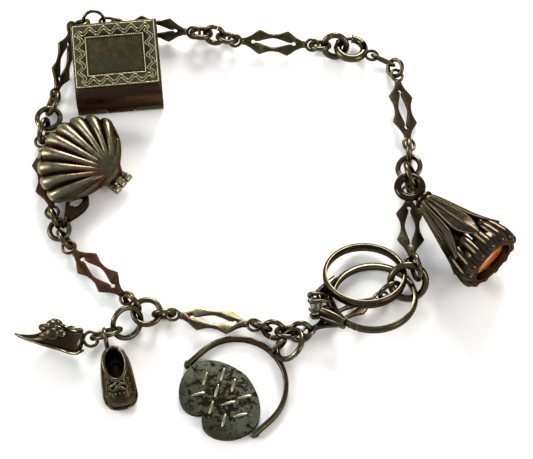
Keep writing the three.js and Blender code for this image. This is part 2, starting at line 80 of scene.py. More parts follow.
Section = tuple[float, float, float, float]


# ---------------------------------------------------------------------------------------------
# Hand tools: selection, primitives and edit-mode steps, in millimetres
# ---------------------------------------------------------------------------------------------


def deselect() -> None:
    """Leaves edit mode and clears the selection."""
    if bpy.context.object and bpy.context.object.mode != "OBJECT":
        bpy.ops.object.mode_set(mode="OBJECT")
    bpy.ops.object.select_all(action="DESELECT")


def activate(*pieces: Piece) -> None:
    """Selects pieces, the first of them active.

    Args:
        pieces: The pieces.
    """
    deselect()
    for piece in pieces:
        piece.select_set(True)
    bpy.context.view_layer.objects.active = pieces[0]


@contextmanager
def editing(piece: Piece) -> Iterator[None]:
    """Opens a mesh in edit mode with all of it selected, and closes it again.

    Args:
        piece: The mesh.

    Yields:
        Nothing; the mesh is open meanwhile.
    """
    activate(piece)
    bpy.ops.object.mode_set(mode="EDIT")
    bpy.ops.mesh.select_all(action="SELECT")
    yield
    bpy.ops.object.mode_set(mode="OBJECT")


def named(piece: Piece, name: str) -> Piece:
    """Names a piece and its mesh.

    Args:
        piece: The mesh.
        name: The name.

    Returns:
        The same piece.
    """
    piece.name = name
    piece.data.name = name
    return piece


def apply_moves(piece: Piece) -> Piece:
    """Puts a piece's place, turn and size into its mesh.

    Args:
        piece: The mesh.

    Returns:
        The same piece.
    """
    activate(piece)
    bpy.ops.object.transform_apply(location=True, rotation=True, scale=True)
    return piece


def clean(piece: Piece, merge: float = 0.001) -> Piece:
    """Merges doubles and points the faces outwards.

    Args:
        piece: The mesh.
        merge: The distance within which corners merge.

    Returns:
        The same piece.
    """
    with editing(piece):
        bpy.ops.mesh.remove_doubles(threshold=merge)
        bpy.ops.mesh.normals_make_consistent(inside=False)
    return piece


def modify(piece: Piece, kind: str, **values: object) -> Piece:
    """Adds one modifier with its values and applies it.

    Args:
        piece: The mesh.
        kind: The modifier's type, such as BEVEL.
        values: Its properties.

    Returns:
        The same piece.
    """
    activate(piece)
    modifier = piece.modifiers.new(kind.lower(), kind)
    for key, value in values.items():
        setattr(modifier, key, value)
    bpy.ops.object.modifier_apply(modifier=modifier.name)
    return piece


def subdivide(piece: Piece, levels: int = 1, simple: bool = False) -> Piece:
    """Subdivides a mesh, smoothly unless simple."""
    kind = "SIMPLE" if simple else "CATMULL_CLARK"
    return modify(piece, "SUBSURF", levels=levels, render_levels=levels, subdivision_type=kind)


def bevel(piece: Piece, width: float, segments: int = 2, angle: float = 30.0) -> Piece:
    """Rounds the edges that are sharper than an angle in degrees."""
    limit = math.radians(angle)
    return modify(piece, "BEVEL", width=width, segments=segments, limit_method="ANGLE", angle_limit=limit)


def boolean(piece: Piece, tool: Piece) -> Piece:
    """Cuts a tool out of a piece; the tool is used up.

    Args:
        piece: The mesh.
        tool: The mesh to cut away.

    Returns:
        The piece that stays.
    """
    modify(piece, "BOOLEAN", object=tool, operation="DIFFERENCE", solver="EXACT")
    bpy.data.objects.remove(tool)
    return piece


def union(name: str, *pieces: Piece) -> Piece:
    """Joins meshes into one piece without cutting them where they pass into each other.

    Args:
        name: The whole's name.
        pieces: The meshes, used up but for the first.

    Returns:
        The whole.
    """
    activate(*pieces)
    if len(pieces) > 1:
        bpy.ops.object.join()
    return named(bpy.context.object, name)


def smooth(piece: Piece, angle: float) -> Piece:
    """Shades a piece smooth up to an angle in degrees.

    Args:
        piece: The mesh.
        angle: The angle in degrees.

    Returns:
        The same piece.
    """
    activate(piece)
    bpy.ops.object.shade_smooth_by_angle(angle=math.radians(angle))
    return piece


def duplicate(piece: Piece, name: str) -> Piece:
    """Copies a piece with a mesh of its own.

    Args:
        piece: The mesh.
        name: The copy's name.

    Returns:
        The copy.
    """
    activate(piece)
    bpy.ops.object.duplicate(linked=False)
    return named(bpy.context.object, name)


def moved(piece: Piece, matrix: Matrix) -> Piece:
    """Moves a piece by a matrix, into its mesh."""
    piece.matrix_world = matrix @ piece.matrix_world
    return apply_moves(piece)


def repeat(seed: Piece, places: Iterable[Matrix]) -> list[Piece]:
    """Copies a seed to each place and removes the seed.

    Args:
        seed: The piece to copy.
        places: The copies' matrices.

    Returns:
        The copies.
    """
    copies = [moved(duplicate(seed, "copy"), place) for place in places]
    bpy.data.objects.remove(seed)
    return copies


def turn(axis: str, degrees: float) -> Matrix:
    """A turn about X, Y or Z in degrees."""
    return Matrix.Rotation(math.radians(degrees), 4, axis)


def turns(axis: str, count: int, first: float = 0.0) -> list[Matrix]:
    """Equal turns about an axis, all the way round from a first angle in degrees."""
    return [turn(axis, first + 360 / count * i) for i in range(count)]


def shift(x: float = 0.0, y: float = 0.0, z: float = 0.0) -> Matrix:
    """A move."""
    return Matrix.Translation((x, y, z))


def scale(x: float = 1.0, y: float = 1.0, z: float = 1.0) -> Matrix:
    """A stretch along the three axes."""
    return Matrix.Diagonal((x, y, z, 1.0))


def torus(outer: float, wire_size: float, around: int = 40, across: int = 12) -> Piece:
    """A ring of round wire about +Z.

    Args:
        outer: The outer diameter.
        wire_size: The wire's diameter.
        around: Corners round the ring.
        across: Corners round the wire.

    Returns:
        The ring.
    """
    deselect()
    bpy.ops.mesh.primitive_torus_add(
        major_radius=(outer - wire_size) / 2, minor_radius=wire_size / 2,
        major_segments=around, minor_segments=across,
    )
    return bpy.context.object


def cylinder(radius: float, height: float, sides: int = 24, top: float | None = None) -> Piece:
    """A round bar or cone about +Z, centred on its height.

    Args:
        radius: Its radius.
        height: Its height.
        sides: How many sides it has.
        top: Its upper radius, if it tapers.

    Returns:
        The bar.
    """
    deselect()
    upper = radius if top is None else top
    bpy.ops.mesh.primitive_cone_add(radius1=radius, radius2=upper, depth=height, vertices=sides)
    return bpy.context.object


def block(width: float, depth: float, height: float) -> Piece:
    """A centred box.

    Args:
        width: Its width.
        depth: Its depth.
        height: Its height.

    Returns:
        The box.
    """
    deselect()
    bpy.ops.mesh.primitive_cube_add(size=1)
    bpy.context.object.scale = (width, depth, height)
    return apply_moves(bpy.context.object)


def ball(radius: float, segments: int = 20, rings: int = 12) -> Piece:
    """A ball at the origin.

    Args:
        radius: Its radius.
        segments: Corners round it.
        rings: Rings from pole to pole.

    Returns:
        The ball.
    """
    deselect()
    bpy.ops.mesh.primitive_uv_sphere_add(radius=radius, segments=segments, ring_count=rings)
    return bpy.context.object


def trace(points: Sequence[Point], closed: bool = False) -> Piece:
    """Draws a chain of edges by extruding one vertex from point to point.

    Args:
        points: The corners, in order.
        closed: Whether the last point joins the first, with a face across the outline.

    Returns:
        The outline.
    """
    deselect()
    bpy.ops.mesh.primitive_plane_add(size=1)
    piece = bpy.context.object
    with editing(piece):
        bpy.ops.mesh.merge(type="CENTER")
        bpy.ops.transform.translate(value=points[0])
        for start, end in zip(points, points[1:]):
            step = Vector(end) - Vector(start)
            bpy.ops.mesh.extrude_region_move(TRANSFORM_OT_translate={"value": step})
        if closed:
            bpy.ops.mesh.select_all(action="SELECT")
            bpy.ops.mesh.edge_face_add()
    return piece


def plate(outline: Sequence[Flat], thickness: float) -> Piece:
    """A flat plate with an outline in X and Y, centred on its thickness.

    Args:
        outline: Its corners.
        thickness: Its thickness.

    Returns:
        The plate.
    """
    piece = trace([(x, y, -thickness / 2) for x, y in outline], closed=True)
    with editing(piece):
        bpy.ops.mesh.extrude_region_move(TRANSFORM_OT_translate={"value": (0, 0, thickness)})
    return clean(piece)


def spun(piece: Piece, steps: int, axis: Point) -> Piece:
    """Spins a chain of edges all the way round an axis through the origin.

    Args:
        piece: The mesh.
        steps: How many steps the turn has.
        axis: The axis's direction.

    Returns:
        The same piece.
    """
    with editing(piece):
        bpy.ops.mesh.spin(steps=steps, angle=TAU, center=(0, 0, 0), axis=axis)
    return piece


def lathe(profile: Sequence[Flat], steps: int = 48) -> Piece:
    """A turned solid about +X from (radius, x) points that start and end on the axis or close."""
    return clean(spun(trace([(x, radius, 0.0) for radius, x in profile]), steps, (1, 0, 0)))


def wire(
    points: Sequence[Point], radius: float | Sequence[float], closed: bool = False, round_by: int = 4
) -> Piece:
    """A round wire that follows points smoothly, as a closed mesh.

    Args:
        points: The wire's centre line.
        radius: Its radius, or one radius for each point.
        closed: Whether it is a loop.
        round_by: How finely its section is rounded.

    Returns:
        The wire.
    """
    deselect()
    bpy.ops.curve.primitive_nurbs_path_add()
    curve = bpy.context.object.data
    curve.splines.clear()
    spline = curve.splines.new("BEZIER")
    spline.bezier_points.add(len(points) - 1)
    radii = list(radius) if isinstance(radius, Sequence) else [radius] * len(points)
    for knot, place, size in zip(spline.bezier_points, points, radii):
        knot.co = place
        knot.handle_left_type = "AUTO"
        knot.handle_right_type = "AUTO"
        knot.radius = size
    spline.use_cyclic_u = closed
    curve.dimensions = "3D"
    curve.bevel_depth = 1.0
    curve.bevel_resolution = round_by
    curve.resolution_u = 4
    curve.use_fill_caps = not closed
    bpy.ops.object.convert(target="MESH")
    return clean(bpy.context.object, 0.0005)


def arc(radius: float, start: float, end: float, steps: int, centre: Flat = (0.0, 0.0)) -> Outline:
    """Points along an arc in degrees, both ends included."""
    angles = [math.radians(start + (end - start) * i / steps) for i in range(steps + 1)]
    return [(centre[0] + radius * math.cos(a), centre[1] + radius * math.sin(a)) for a in angles]


def reshape(piece: Piece, rule: Callable[[Vector], Vector]) -> Piece:
    """Moves every vertex by a rule, as a sculpting pass.

    Args:
        piece: The mesh.
        rule: Gives each corner's new place from its old one.

    Returns:
        The same piece.
    """
    for vertex in piece.data.vertices:
        vertex.co = rule(vertex.co.copy())
    piece.data.update()
    return piece


def loft(name: str, sections: Sequence[Sequence[Point]]) -> Piece:
    """Bridges closed loops of points into one skin with a cap at each end.

    Args:
        name: The skin's name.
        sections: Its sections in order, each with as many points.

    Returns:
        The closed skin.
    """
    loops = [trace(section, closed=True) for section in sections]
    for loop in loops[1:-1]:
        with editing(loop):
            bpy.ops.mesh.delete(type="ONLY_FACE")
    skin = union(name, *loops)
    with editing(skin):
        bpy.ops.mesh.bridge_edge_loops(type="SINGLE")
    return clean(skin)


def shoe_section(x: float, low: float, high: float, width: float) -> list[Point]:
    """A shoe's section at x: an oval that stands on a flattened sole.

    Args:
        x: Its place along the shoe.
        low: Its lowest height.
        high: Its highest height.
        width: Its width.

    Returns:
        The section's points.
    """
    count, squared, waist = 20, 0.55, 0.4
    middle = low + (high - low) * waist
    points = []
    for i in range(count):
        a = TAU * i / count
        down = math.sin(a) < 0
        reach = middle - low if down else high - middle
        side = math.copysign(abs(math.cos(a)) ** (squared if down else 1), math.cos(a))
        points.append((x, -side * width / 2, middle + reach * math.sin(a)))
    return points


def welt(sections: Sequence[Section], inset: float, rise: float) -> Piece:
    """A shoe's welt: a wire along both sides of its sole.

    Args:
        sections: The shoe's sections, from heel to toe.
        inset: How far it lies inside the widest line.
        rise: How far it lies above the sole.

    Returns:
        The welt.
    """
    side = [(x, width / 2 - inset, low + rise) for x, low, _, width in sections]
    path = [*side, *[(x, -y, z) for x, y, z in reversed(side)]]
    return wire(path, 0.17, closed=True, round_by=2)


# ---------------------------------------------------------------------------------------------
# Places: where each charm lies, and where the chain's links and rings lie, read from the frame
# ---------------------------------------------------------------------------------------------


@dataclass(frozen=True)
class Place:
    """A charm's place before the bracelet was centred, in millimetres and degrees."""

    x: float
    y: float
    z: float
    heading: float = 0.0
    pitch: float = 0.0
    roll: float = 0.0

    def matrix(self, centring: Vector) -> Matrix:
        """Gives the matrix from the charm's own millimetres to the frame's metres.

        Args:
            centring: How far the whole bracelet was moved to centre it, in millimetres.

        Returns:
            The matrix.
        """
        turned = turn("Z", self.heading) @ turn("Y", -self.pitch) @ turn("X", self.roll)
        middle = Vector((self.x, self.y, self.z)) + centring
        return Matrix.Scale(MM, 4) @ Matrix.Translation(middle) @ turned


@dataclass(frozen=True)
class Ring:
    """A round ring measured on its CAD node, in millimetres."""

    centre: Vector
    normal: Vector
    outer: float
    wire: float
    floor_gap: float = 0.02

    def fuller(self, growth: float) -> "Ring":
        """The same ring in thicker wire that keeps its bore, lifted where it would touch the table.

        Args:
            growth: How much thicker the wire is.

        Returns:
            The fuller ring.
        """
        lean = math.sqrt(max(1 - self.normal.z**2, 0.0))
        thicker = self.wire + growth
        mean = (self.outer - self.wire + growth) / 2
        lift = max(mean * lean + thicker / 2 + self.floor_gap - self.centre.z, 0.0)
        return Ring(self.centre + Vector((0, 0, lift)), self.normal, self.outer + 2 * growth, thicker)

    def matrix(self) -> Matrix:
        """The matrix from a ring about +Z in millimetres to the frame's metres."""
        turned = self.normal.to_track_quat("Z", "Y").to_matrix().to_4x4()
        return Matrix.Scale(MM, 4) @ Matrix.Translation(self.centre) @ turned


class Frame:
    """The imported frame: its nodes and the measures taken from them.

    One link's middle before the bracelet was centred is known, so it tells the centring.
    """

    known_link = "link_8"
    known_middle = Vector((-34.7, 8.5, 1.4))
    rounds = 400

    def __init__(self, loaded: dict) -> None:
        """Keeps the loaded frame's nodes and finds how far they were moved to centre them."""
        self.nodes: dict[str, Piece] = loaded["nodes"]
        self.centring = self.axes(self.known_link)[0] - self.known_middle

    def corners(self, node: str) -> list[Vector]:
        """A node's vertices in millimetres, each place once."""
        rounded = {tuple(round(c / MM, 3) for c in v.co) for v in self.nodes[node].data.vertices}
        return [Vector(place) for place in sorted(rounded)]

    def axes(self, node: str) -> tuple[Vector, Matrix]:
        """Finds a node's middle and its long, wide and thin directions, as a matrix's columns.

        Args:
            node: The CAD node's name.

        Returns:
            The middle in millimetres and the matrix.
        """
        corners = self.corners(node)
        middle = sum(corners, Vector()) / len(corners)
        spread = [
            [sum((p[i] - middle[i]) * (p[j] - middle[j]) for p in corners) for j in range(3)]
            for i in range(3)
        ]
        long = self.principal(spread, Vector((0.9, 0.5, 0.1)))
        share = long.dot(Matrix(spread) @ long)
        rest = [[spread[i][j] - share * long[i] * long[j] for j in range(3)] for i in range(3)]
        wide = self.principal(rest, long.orthogonal())
        wide = (wide - wide.dot(long) * long).normalized()
        thin = long.cross(wide)
        return middle, Matrix((long, wide, thin)).transposed()

    def principal(self, spread: list[list[float]], guess: Vector) -> Vector:
        """The direction of most spread, found by repeated multiplication.

        Args:
            spread: The spread of the points, as a matrix in rows.
            guess: A direction to start from.

        Returns:
            The direction, of unit length.
        """
        matrix = Matrix(spread)
        direction = guess.normalized()
        for _ in range(self.rounds):
            direction = (matrix @ direction).normalized()
        return direction

    def ring(self, node: str) -> Ring:
        """Measures a round ring's node.

        Args:
            node: The CAD node's name.

        Returns:
            The ring's measures.
        """
        middle, axes = self.axes(node)
        normal = axes.col[2].copy()
        corners = self.corners(node)
        heights = [(p - middle).dot(normal) for p in corners]
        reach = max(((p - middle) - (p - middle).dot(normal) * normal).length for p in corners)
        return Ring(middle, normal, 2 * reach, max(heights) - min(heights))

    def bar(self, node: str) -> Matrix:
        """The matrix from a flat bar along +X in millimetres to its node's place in metres."""
        middle, axes = self.axes(node)
        return Matrix.Scale(MM, 4) @ Matrix.Translation(middle) @ axes.to_4x4()


# ---------------------------------------------------------------------------------------------
# Finishes
# ---------------------------------------------------------------------------------------------


class Nodes:
    """A material's node tree with short calls to add and join its nodes."""

    share, first, second = 0, 6, 7
    mixed = 2

    def __init__(self, name: str) -> None:
        """Starts a material with one surface shader.

        Args:
            name: The material's name.
        """
        self.material = bpy.data.materials.new(name)
        self.material.use_nodes = True
        self.tree = self.material.node_tree
        self.tree.nodes.clear()
        self.shader = self.add("ShaderNodeBsdfPrincipled")
        output = self.add("ShaderNodeOutputMaterial")
        self.join(self.shader.outputs["BSDF"], output.inputs["Surface"])
        self.place = self.add("ShaderNodeTexCoord").outputs["Object"]

    def add(self, kind: str, **values: object) -> bpy.types.Node:
        """Adds a node and sets its properties.

        Args:
            kind: The node's type.
            values: Its properties.

        Returns:
            The node.
        """
        node = self.tree.nodes.new(kind)
        for key, value in values.items():
            setattr(node, key, value)
        return node

    def join(self, source: Socket, target: Socket) -> None:
        """Links two sockets."""
        self.tree.links.new(source, target)

    def noise(
        self, size: float, detail: float = 3.0, rough: float = 0.55, stretch: Point = (1, 1, 1)
    ) -> Socket:
        """A noise pattern with features of about a size in millimetres.

        Args:
            size: The size of its features.
            detail: How many finer layers it has.
            rough: How strong the finer layers are.
            stretch: Its scale along X, Y and Z.

        Returns:
            The noise value's socket.
        """
        mapping = self.add("ShaderNodeMapping")
        mapping.inputs["Scale"].default_value = stretch
        self.join(self.place, mapping.inputs["Vector"])
        noise = self.add("ShaderNodeTexNoise")
        noise.inputs["Scale"].default_value = 1 / (size * MM)
        noise.inputs["Detail"].default_value = detail
        noise.inputs["Roughness"].default_value = rough
        self.join(mapping.outputs["Vector"], noise.inputs["Vector"])
        return noise.outputs["Fac"]

    def away(self, centre: Point, radius: float) -> Socket:
        """The distance from a centre, as a share of a radius in millimetres.

        Args:
            centre: The centre, in millimetres.
            radius: The distance that counts as one.

        Returns:
            The distance's socket.
        """
        mapping = self.add("ShaderNodeMapping")
        mapping.inputs["Location"].default_value = [-c / radius for c in centre]
        mapping.inputs["Scale"].default_value = [1 / (radius * MM)] * 3
        self.join(self.place, mapping.inputs["Vector"])
        length = self.add("ShaderNodeVectorMath", operation="LENGTH")
        self.join(mapping.outputs["Vector"], length.inputs[0])
        return length.outputs["Value"]

    def ramp(self, source: Socket, *stops: tuple[float, Colour | float]) -> Socket:
        """A colour ramp from stops of (position, colour or grey).

        Args:
            source: The value that picks the colour.
            stops: The ramp's stops.

        Returns:
            The colour's socket.
        """
        ramp = self.add("ShaderNodeValToRGB")
        elements = ramp.color_ramp.elements
        while len(elements) < len(stops):
            elements.new(0.5)
        for element, (position, colour) in zip(elements, stops):
            element.position = position
            shade = (colour,) * 3 if isinstance(colour, float) else colour
            element.color = (*shade, 1.0)
        self.join(source, ramp.inputs["Fac"])
        return ramp.outputs["Color"]

    def mix(self, how: str, fac: Socket | float, a: Socket | Colour, b: Socket | Colour) -> Socket:
        """Mixes two colours.

        Args:
            how: The blend type, such as MIX or MULTIPLY.
            fac: The share of b.
            a: The first colour.
            b: The second colour.

        Returns:
            The mixed colour's socket.
        """
        node = self.add("ShaderNodeMix", data_type="RGBA", blend_type=how)
        for index, value in ((self.share, fac), (self.first, a), (self.second, b)):
            if isinstance(value, Socket):
                self.join(value, node.inputs[index])
            else:
                node.inputs[index].default_value = value if isinstance(value, float) else (*value, 1.0)
        return node.outputs[self.mixed]

    def recess(self, reach: float) -> Socket:
        """A grey of painted shade that darkens in recesses within a reach in millimetres.

        Args:
            reach: How far a recess is looked for.

        Returns:
            The grey's socket.
        """
        hidden = self.add("ShaderNodeAmbientOcclusion", samples=8)
        hidden.inputs["Distance"].default_value = reach * MM
        return hidden.outputs["AO"]

    def bump(self, height: Socket, depth: float) -> None:
        """Raises the surface by a height pattern, with its depth in millimetres.

        Args:
            height: The height pattern.
            depth: Its depth.
        """
        bump = self.add("ShaderNodeBump")
        bump.inputs["Distance"].default_value = depth * MM
        bump.inputs["Strength"].default_value = 1.0
        self.join(height, bump.inputs["Height"])
        self.join(bump.outputs["Normal"], self.shader.inputs["Normal"])

    def colour(self, source: Socket) -> None:
        """Joins a colour to the shader."""
        self.join(source, self.shader.inputs["Base Color"])

    def set(self, **values: float) -> None:
        """Sets plain numbers on the shader's own sockets, named with _ for a space."""
        for key, value in values.items():
            self.shader.inputs[key.replace("_", " ")].default_value = value


@dataclass(frozen=True)
class Silver:
    """Tarnished silver with painted light: darker in recesses, brown in patches and bright on edges.

    The darkening in recesses is painted shade that also stands for tarnish in the hollows, and the
    bright edges are painted highlights that also stand for worn metal. Colours run from the deep
    colour of tarnish and painted shade to the bright colour of worn metal and painted highlight, and
    glance is the colour of grazing reflections. Sizes and reaches are in millimetres; the edge
    setting and gloss are from 0 to 1.
    """

    name: str
    # deep is the colour of tarnish and also of the painted shade laid into recesses.
    deep: Colour = (0.006, 0.004, 0.003)
    brown: Colour = (0.028, 0.011, 0.007)
    olive: Colour = (0.036, 0.029, 0.016)
    # bright serves random light patches, and on edges both worn metal and painted highlight.
    bright: Colour = (0.300, 0.280, 0.170)
    glance: Colour = (0.42, 0.36, 0.25)
    patch: float = 3.0
    # The edge setting: how far the bright edge colour spreads, standing for worn metal and painted highlight.
    edge_wear_and_highlight: float = 0.5
    gloss: float = 0.30
    grain: float = 0.02
    # reach and recess_from set the painted shade that darkens recesses, standing also for tarnish in them.
    reach: float = 0.9
    recess_from: float = 0.35
    speckle: float = 0.0
    speckle_at: Point = (0.0, 0.0, 0.0)

    def build(self) -> bpy.types.Material:
        """Builds the material.

        Returns:
            The material.
        """
        n = Nodes(self.name)
        n.colour(self.tarnish_and_painted_light(n))
        low, high = self.gloss * 0.8, min(self.gloss * 1.7, 1.0)
        rough = n.ramp(n.noise(1.1, 4.0, 0.65), (0.35, low), (0.68, high))
        n.join(rough, n.shader.inputs["Roughness"])
        pores = n.ramp(n.noise(0.12, 2.0), (0.0, 0.0), (1.0, 1.0))
        dents = n.ramp(n.noise(0.9, 3.0), (0.0, 0.0), (1.0, 1.0))
        n.bump(n.mix("MIX", 0.5, pores, dents), self.grain)
        n.shader.inputs["Specular Tint"].default_value = (*self.glance, 1.0)
        n.set(Metallic=0.94)
        return n.material

    def tarnish_and_painted_light(self, n: Nodes) -> Socket:
        """The colour: patches, bright edges of worn metal and painted highlight, fine mottling, stains, and
        recesses darkened by painted shade that stands also for tarnish.

        Args:
            n: The material's nodes.

        Returns:
            The colour's socket.
        """
        patches = n.noise(self.patch, 4.0, 0.6)
        stops = ((0.36, self.brown), (0.52, self.olive), (0.64, self.olive), (0.84, self.bright))
        # Painted highlight with wear: the bright colour is laid on the convex edges.
        colour = n.mix("MIX", self.edge_wear_and_painted_highlight(n), n.ramp(patches, *stops), self.bright)
        mottled = n.ramp(n.noise(0.35, 3.0, 0.6), (0.30, 0.45), (0.62, 1.0))
        colour = n.mix("MULTIPLY", 0.55, colour, mottled)
        if self.speckle:
            colour = n.mix("MIX", self.stained(n), colour, self.deep)
        # Painted shade: ambient occlusion darkens recesses to the deep colour, standing also for tarnish
        # there.
        recess = n.ramp(n.recess(self.reach), (self.recess_from, 0.0), (0.92, 1.0))
        return n.mix("MIX", recess, self.deep, colour)

    def edge_wear_and_painted_highlight(self, n: Nodes) -> Socket:
        """A mask of the convex edges, for painted highlights and worn metal, wider the larger the edge
        setting.

        Args:
            n: The material's nodes.

        Returns:
            The mask's socket.
        """
        # Painted highlight and wear on the convex edges, found by pointiness.
        point = n.add("ShaderNodeNewGeometry").outputs["Pointiness"]
        top = 0.5 + 0.08 / max(self.edge_wear_and_highlight, 0.05)
        return n.ramp(point, (0.505, 0.0), (min(top, 1.0), 1.0))

    def stained(self, n: Nodes) -> Socket:
        """A mask of dark flecks that crowd about a middle.

        Args:
            n: The material's nodes.

        Returns:
            The mask's socket.
        """
        pits = n.ramp(n.noise(1.0, 4.0, 0.8), (0.35, 1.0), (0.65, 0.0))
        worn = n.ramp(n.away(self.speckle_at, self.speckle), (0.15, 1.0), (1.0, 0.0))
        return n.ramp(n.mix("ADD", 0.5, pits, worn), (0.74, 0.0), (0.84, 1.0))


@dataclass(frozen=True)
class Carnelian:
    """Polished orange chalcedony with cloudy bands."""

    name: str = "orange_chalcedony"
    dark: Colour = (0.30, 0.055, 0.012)
    warm: Colour = (0.70, 0.20, 0.035)
    pale: Colour = (0.86, 0.45, 0.16)

    def build(self) -> bpy.types.Material:
        """Builds the material.

        Returns:
            The material.
        """
        n = Nodes(self.name)
        clouds = n.noise(3.5, 3.0, 0.5, (1.0, 1.0, 2.2))
        n.colour(n.ramp(clouds, (0.32, self.dark), (0.52, self.warm), (0.72, self.pale)))
        n.bump(n.noise(0.5, 2.0), 0.004)
        n.set(Roughness=0.12, IOR=1.54, Coat_Weight=0.4, Coat_Roughness=0.06)
        return n.material


@dataclass(frozen=True)
class ClearStone:
    """A clear faceted stone with a faint cloud inside."""

    name: str = "clear_stone"
    tint: Colour = (0.46, 0.46, 0.42)
    cloud: Colour = (0.20, 0.19, 0.17)

    def build(self) -> bpy.types.Material:
        """Builds the material.

        Returns:
            The material.
        """
        n = Nodes(self.name)
        n.colour(n.ramp(n.noise(0.8, 2.0), (0.3, self.cloud), (0.7, self.tint)))
        n.join(n.ramp(n.noise(0.4, 2.0), (0.2, 0.02), (0.8, 0.07)), n.shader.inputs["Roughness"])
        n.set(IOR=1.7, Transmission_Weight=0.75)
        return n.material


@dataclass(frozen=True)
class PaleSurface:
    """The plain pale table."""

    name: str = "pale_surface"
    low: Colour = (0.90, 0.90, 0.90)
    high: Colour = (0.92, 0.92, 0.92)

    def build(self) -> bpy.types.Material:
        """Builds the material.

        Returns:
            The material.
        """
        n = Nodes(self.name)
        n.colour(n.ramp(n.noise(40.0, 2.0), (0.3, self.low), (0.7, self.high)))
        n.set(Roughness=0.9)
        return n.material


class Finish(Enum):
    """The bracelet's finishes."""

    CHAIN = Silver("chain_silver", brown=(0.040, 0.014, 0.009), edge_wear_and_highlight=0.3)
    WARM = Silver(
        "warm_silver", brown=(0.075, 0.026, 0.016), olive=(0.050, 0.026, 0.016),
        bright=(0.20, 0.13, 0.08), edge_wear_and_highlight=0.25,
    )
    GROUND = Silver("ground_silver", brown=(0.020, 0.012, 0.007), olive=(0.026, 0.021, 0.012), edge_wear_and_highlight=0.05)
    WIRE = Silver(
        "wire_silver", brown=(0.036, 0.013, 0.008), olive=(0.040, 0.031, 0.018), patch=2.4,
        gloss=0.18, edge_wear_and_highlight=0.35,
    )
    BOOK = Silver(
        "book_silver", olive=(0.038, 0.033, 0.018), bright=(0.17, 0.16, 0.09), patch=4.5, edge_wear_and_highlight=0.3,
        reach=0.4,
    )
    # Painted reflection: the spine's darker, reddish-brown copy of the book's silver stands for reddish
    # surroundings reflected in the rounded spine; the clip body wears it too.
    SPINE = Silver(
        "spine_reflection_silver", brown=(0.050, 0.018, 0.011), olive=(0.040, 0.024, 0.015),
        bright=(0.09, 0.06, 0.04), gloss=0.26, edge_wear_and_highlight=0.1,
    )
    SHELL = Silver(
        "shell_silver", deep=(0.026, 0.010, 0.006), brown=(0.075, 0.026, 0.016),
        olive=(0.080, 0.067, 0.042), patch=4.0, gloss=0.26, edge_wear_and_highlight=1.0, reach=0.8, recess_from=0.2,
    )
    DARK = Silver(
        "dark_silver", brown=(0.034, 0.010, 0.006), olive=(0.030, 0.022, 0.014), patch=1.8,
        gloss=0.22, edge_wear_and_highlight=0.45, grain=0.03, reach=1.5,
    )
    FOB = Silver(
        "fob_silver", brown=(0.010, 0.004, 0.003), olive=(0.012, 0.008, 0.006),
        bright=(0.20, 0.17, 0.11), patch=3.5, gloss=0.13, edge_wear_and_highlight=0.32, grain=0.006,
    )
    HEART = Silver(
        "heart_silver", deep=(0.014, 0.009, 0.006), brown=(0.030, 0.031, 0.022),
        olive=(0.047, 0.051, 0.036), bright=(0.090, 0.098, 0.070), patch=5.0, gloss=0.55, edge_wear_and_highlight=0.6,
        speckle=6.5, speckle_at=(-6.6, -30.0, 0.7),
    )
    TOOLED = Silver(
        "tooled_silver", brown=(0.16, 0.13, 0.08), olive=(0.22, 0.20, 0.12), patch=2.0, edge_wear_and_highlight=1.0,
        reach=0.1, recess_from=0.1,
    )
    TICK = Silver(
        "tick_silver", brown=(0.24, 0.23, 0.15), olive=(0.30, 0.29, 0.19), bright=(0.45, 0.43, 0.31),
        edge_wear_and_highlight=1.0, reach=0.1, recess_from=0.1,
    )
    RING = Silver(
        "ring_silver", olive=(0.034, 0.027, 0.017), bright=(0.28, 0.26, 0.18), gloss=0.15, edge_wear_and_highlight=0.3,
        reach=1.4,
    )
    ORANGE = Carnelian()
    CLEAR = ClearStone()
    TABLE = PaleSurface()


class Palette:
    """Builds each finish's material once."""

    def __init__(self) -> None:
        """Starts with no material built."""
        self.built: dict[Finish, bpy.types.Material] = {}

    def dress(self, piece: Piece, finish: Finish) -> None:
        """Gives a piece a finish.

        Args:
            piece: The piece.
            finish: Its finish.
        """
        if finish not in self.built:
            self.built[finish] = finish.value.build()
        piece.data.materials.clear()
        piece.data.materials.append(self.built[finish])


# ---------------------------------------------------------------------------------------------
# Sub-assemblies
# ---------------------------------------------------------------------------------------------


class Workshop:
    """Dresses and seats pieces, and counts what was built."""

    def __init__(self, frame: Frame, palette: Palette) -> None:
        """Keeps the frame and the finishes.

        Args:
            frame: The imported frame.
            palette: The finishes.
        """
        self.frame = frame
        self.palette = palette
        self.count = 0

    def at(self, place: Place) -> Matrix:
        """A place's matrix, from millimetres to the frame's metres."""
        return place.matrix(self.frame.centring)

    def put(
        self, piece: Piece, place: Matrix, finish: Finish, replaces: str, body: str = "bracelet"
    ) -> None:
        """Dresses a piece and puts it in the frame.

        Args:
            piece: The piece in its own millimetres.
            place: The matrix to the frame's metres.
            finish: Its finish.
            replaces: The CAD node it stands for, or nothing.
            body: The CAD body it rides on.
        """
        moved(piece, place)
        self.palette.dress(piece, finish)
        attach(piece, body)
        if replaces:
            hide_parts(replaces)
        self.count += 1
        LOG.info("%s: %d faces on %s", piece.name, len(piece.data.polygons), body)


class Maker(Protocol):
    """What every sub-assembly can do."""

    def build(self, shop: Workshop) -> None:
        """Builds the sub-assembly's pieces."""


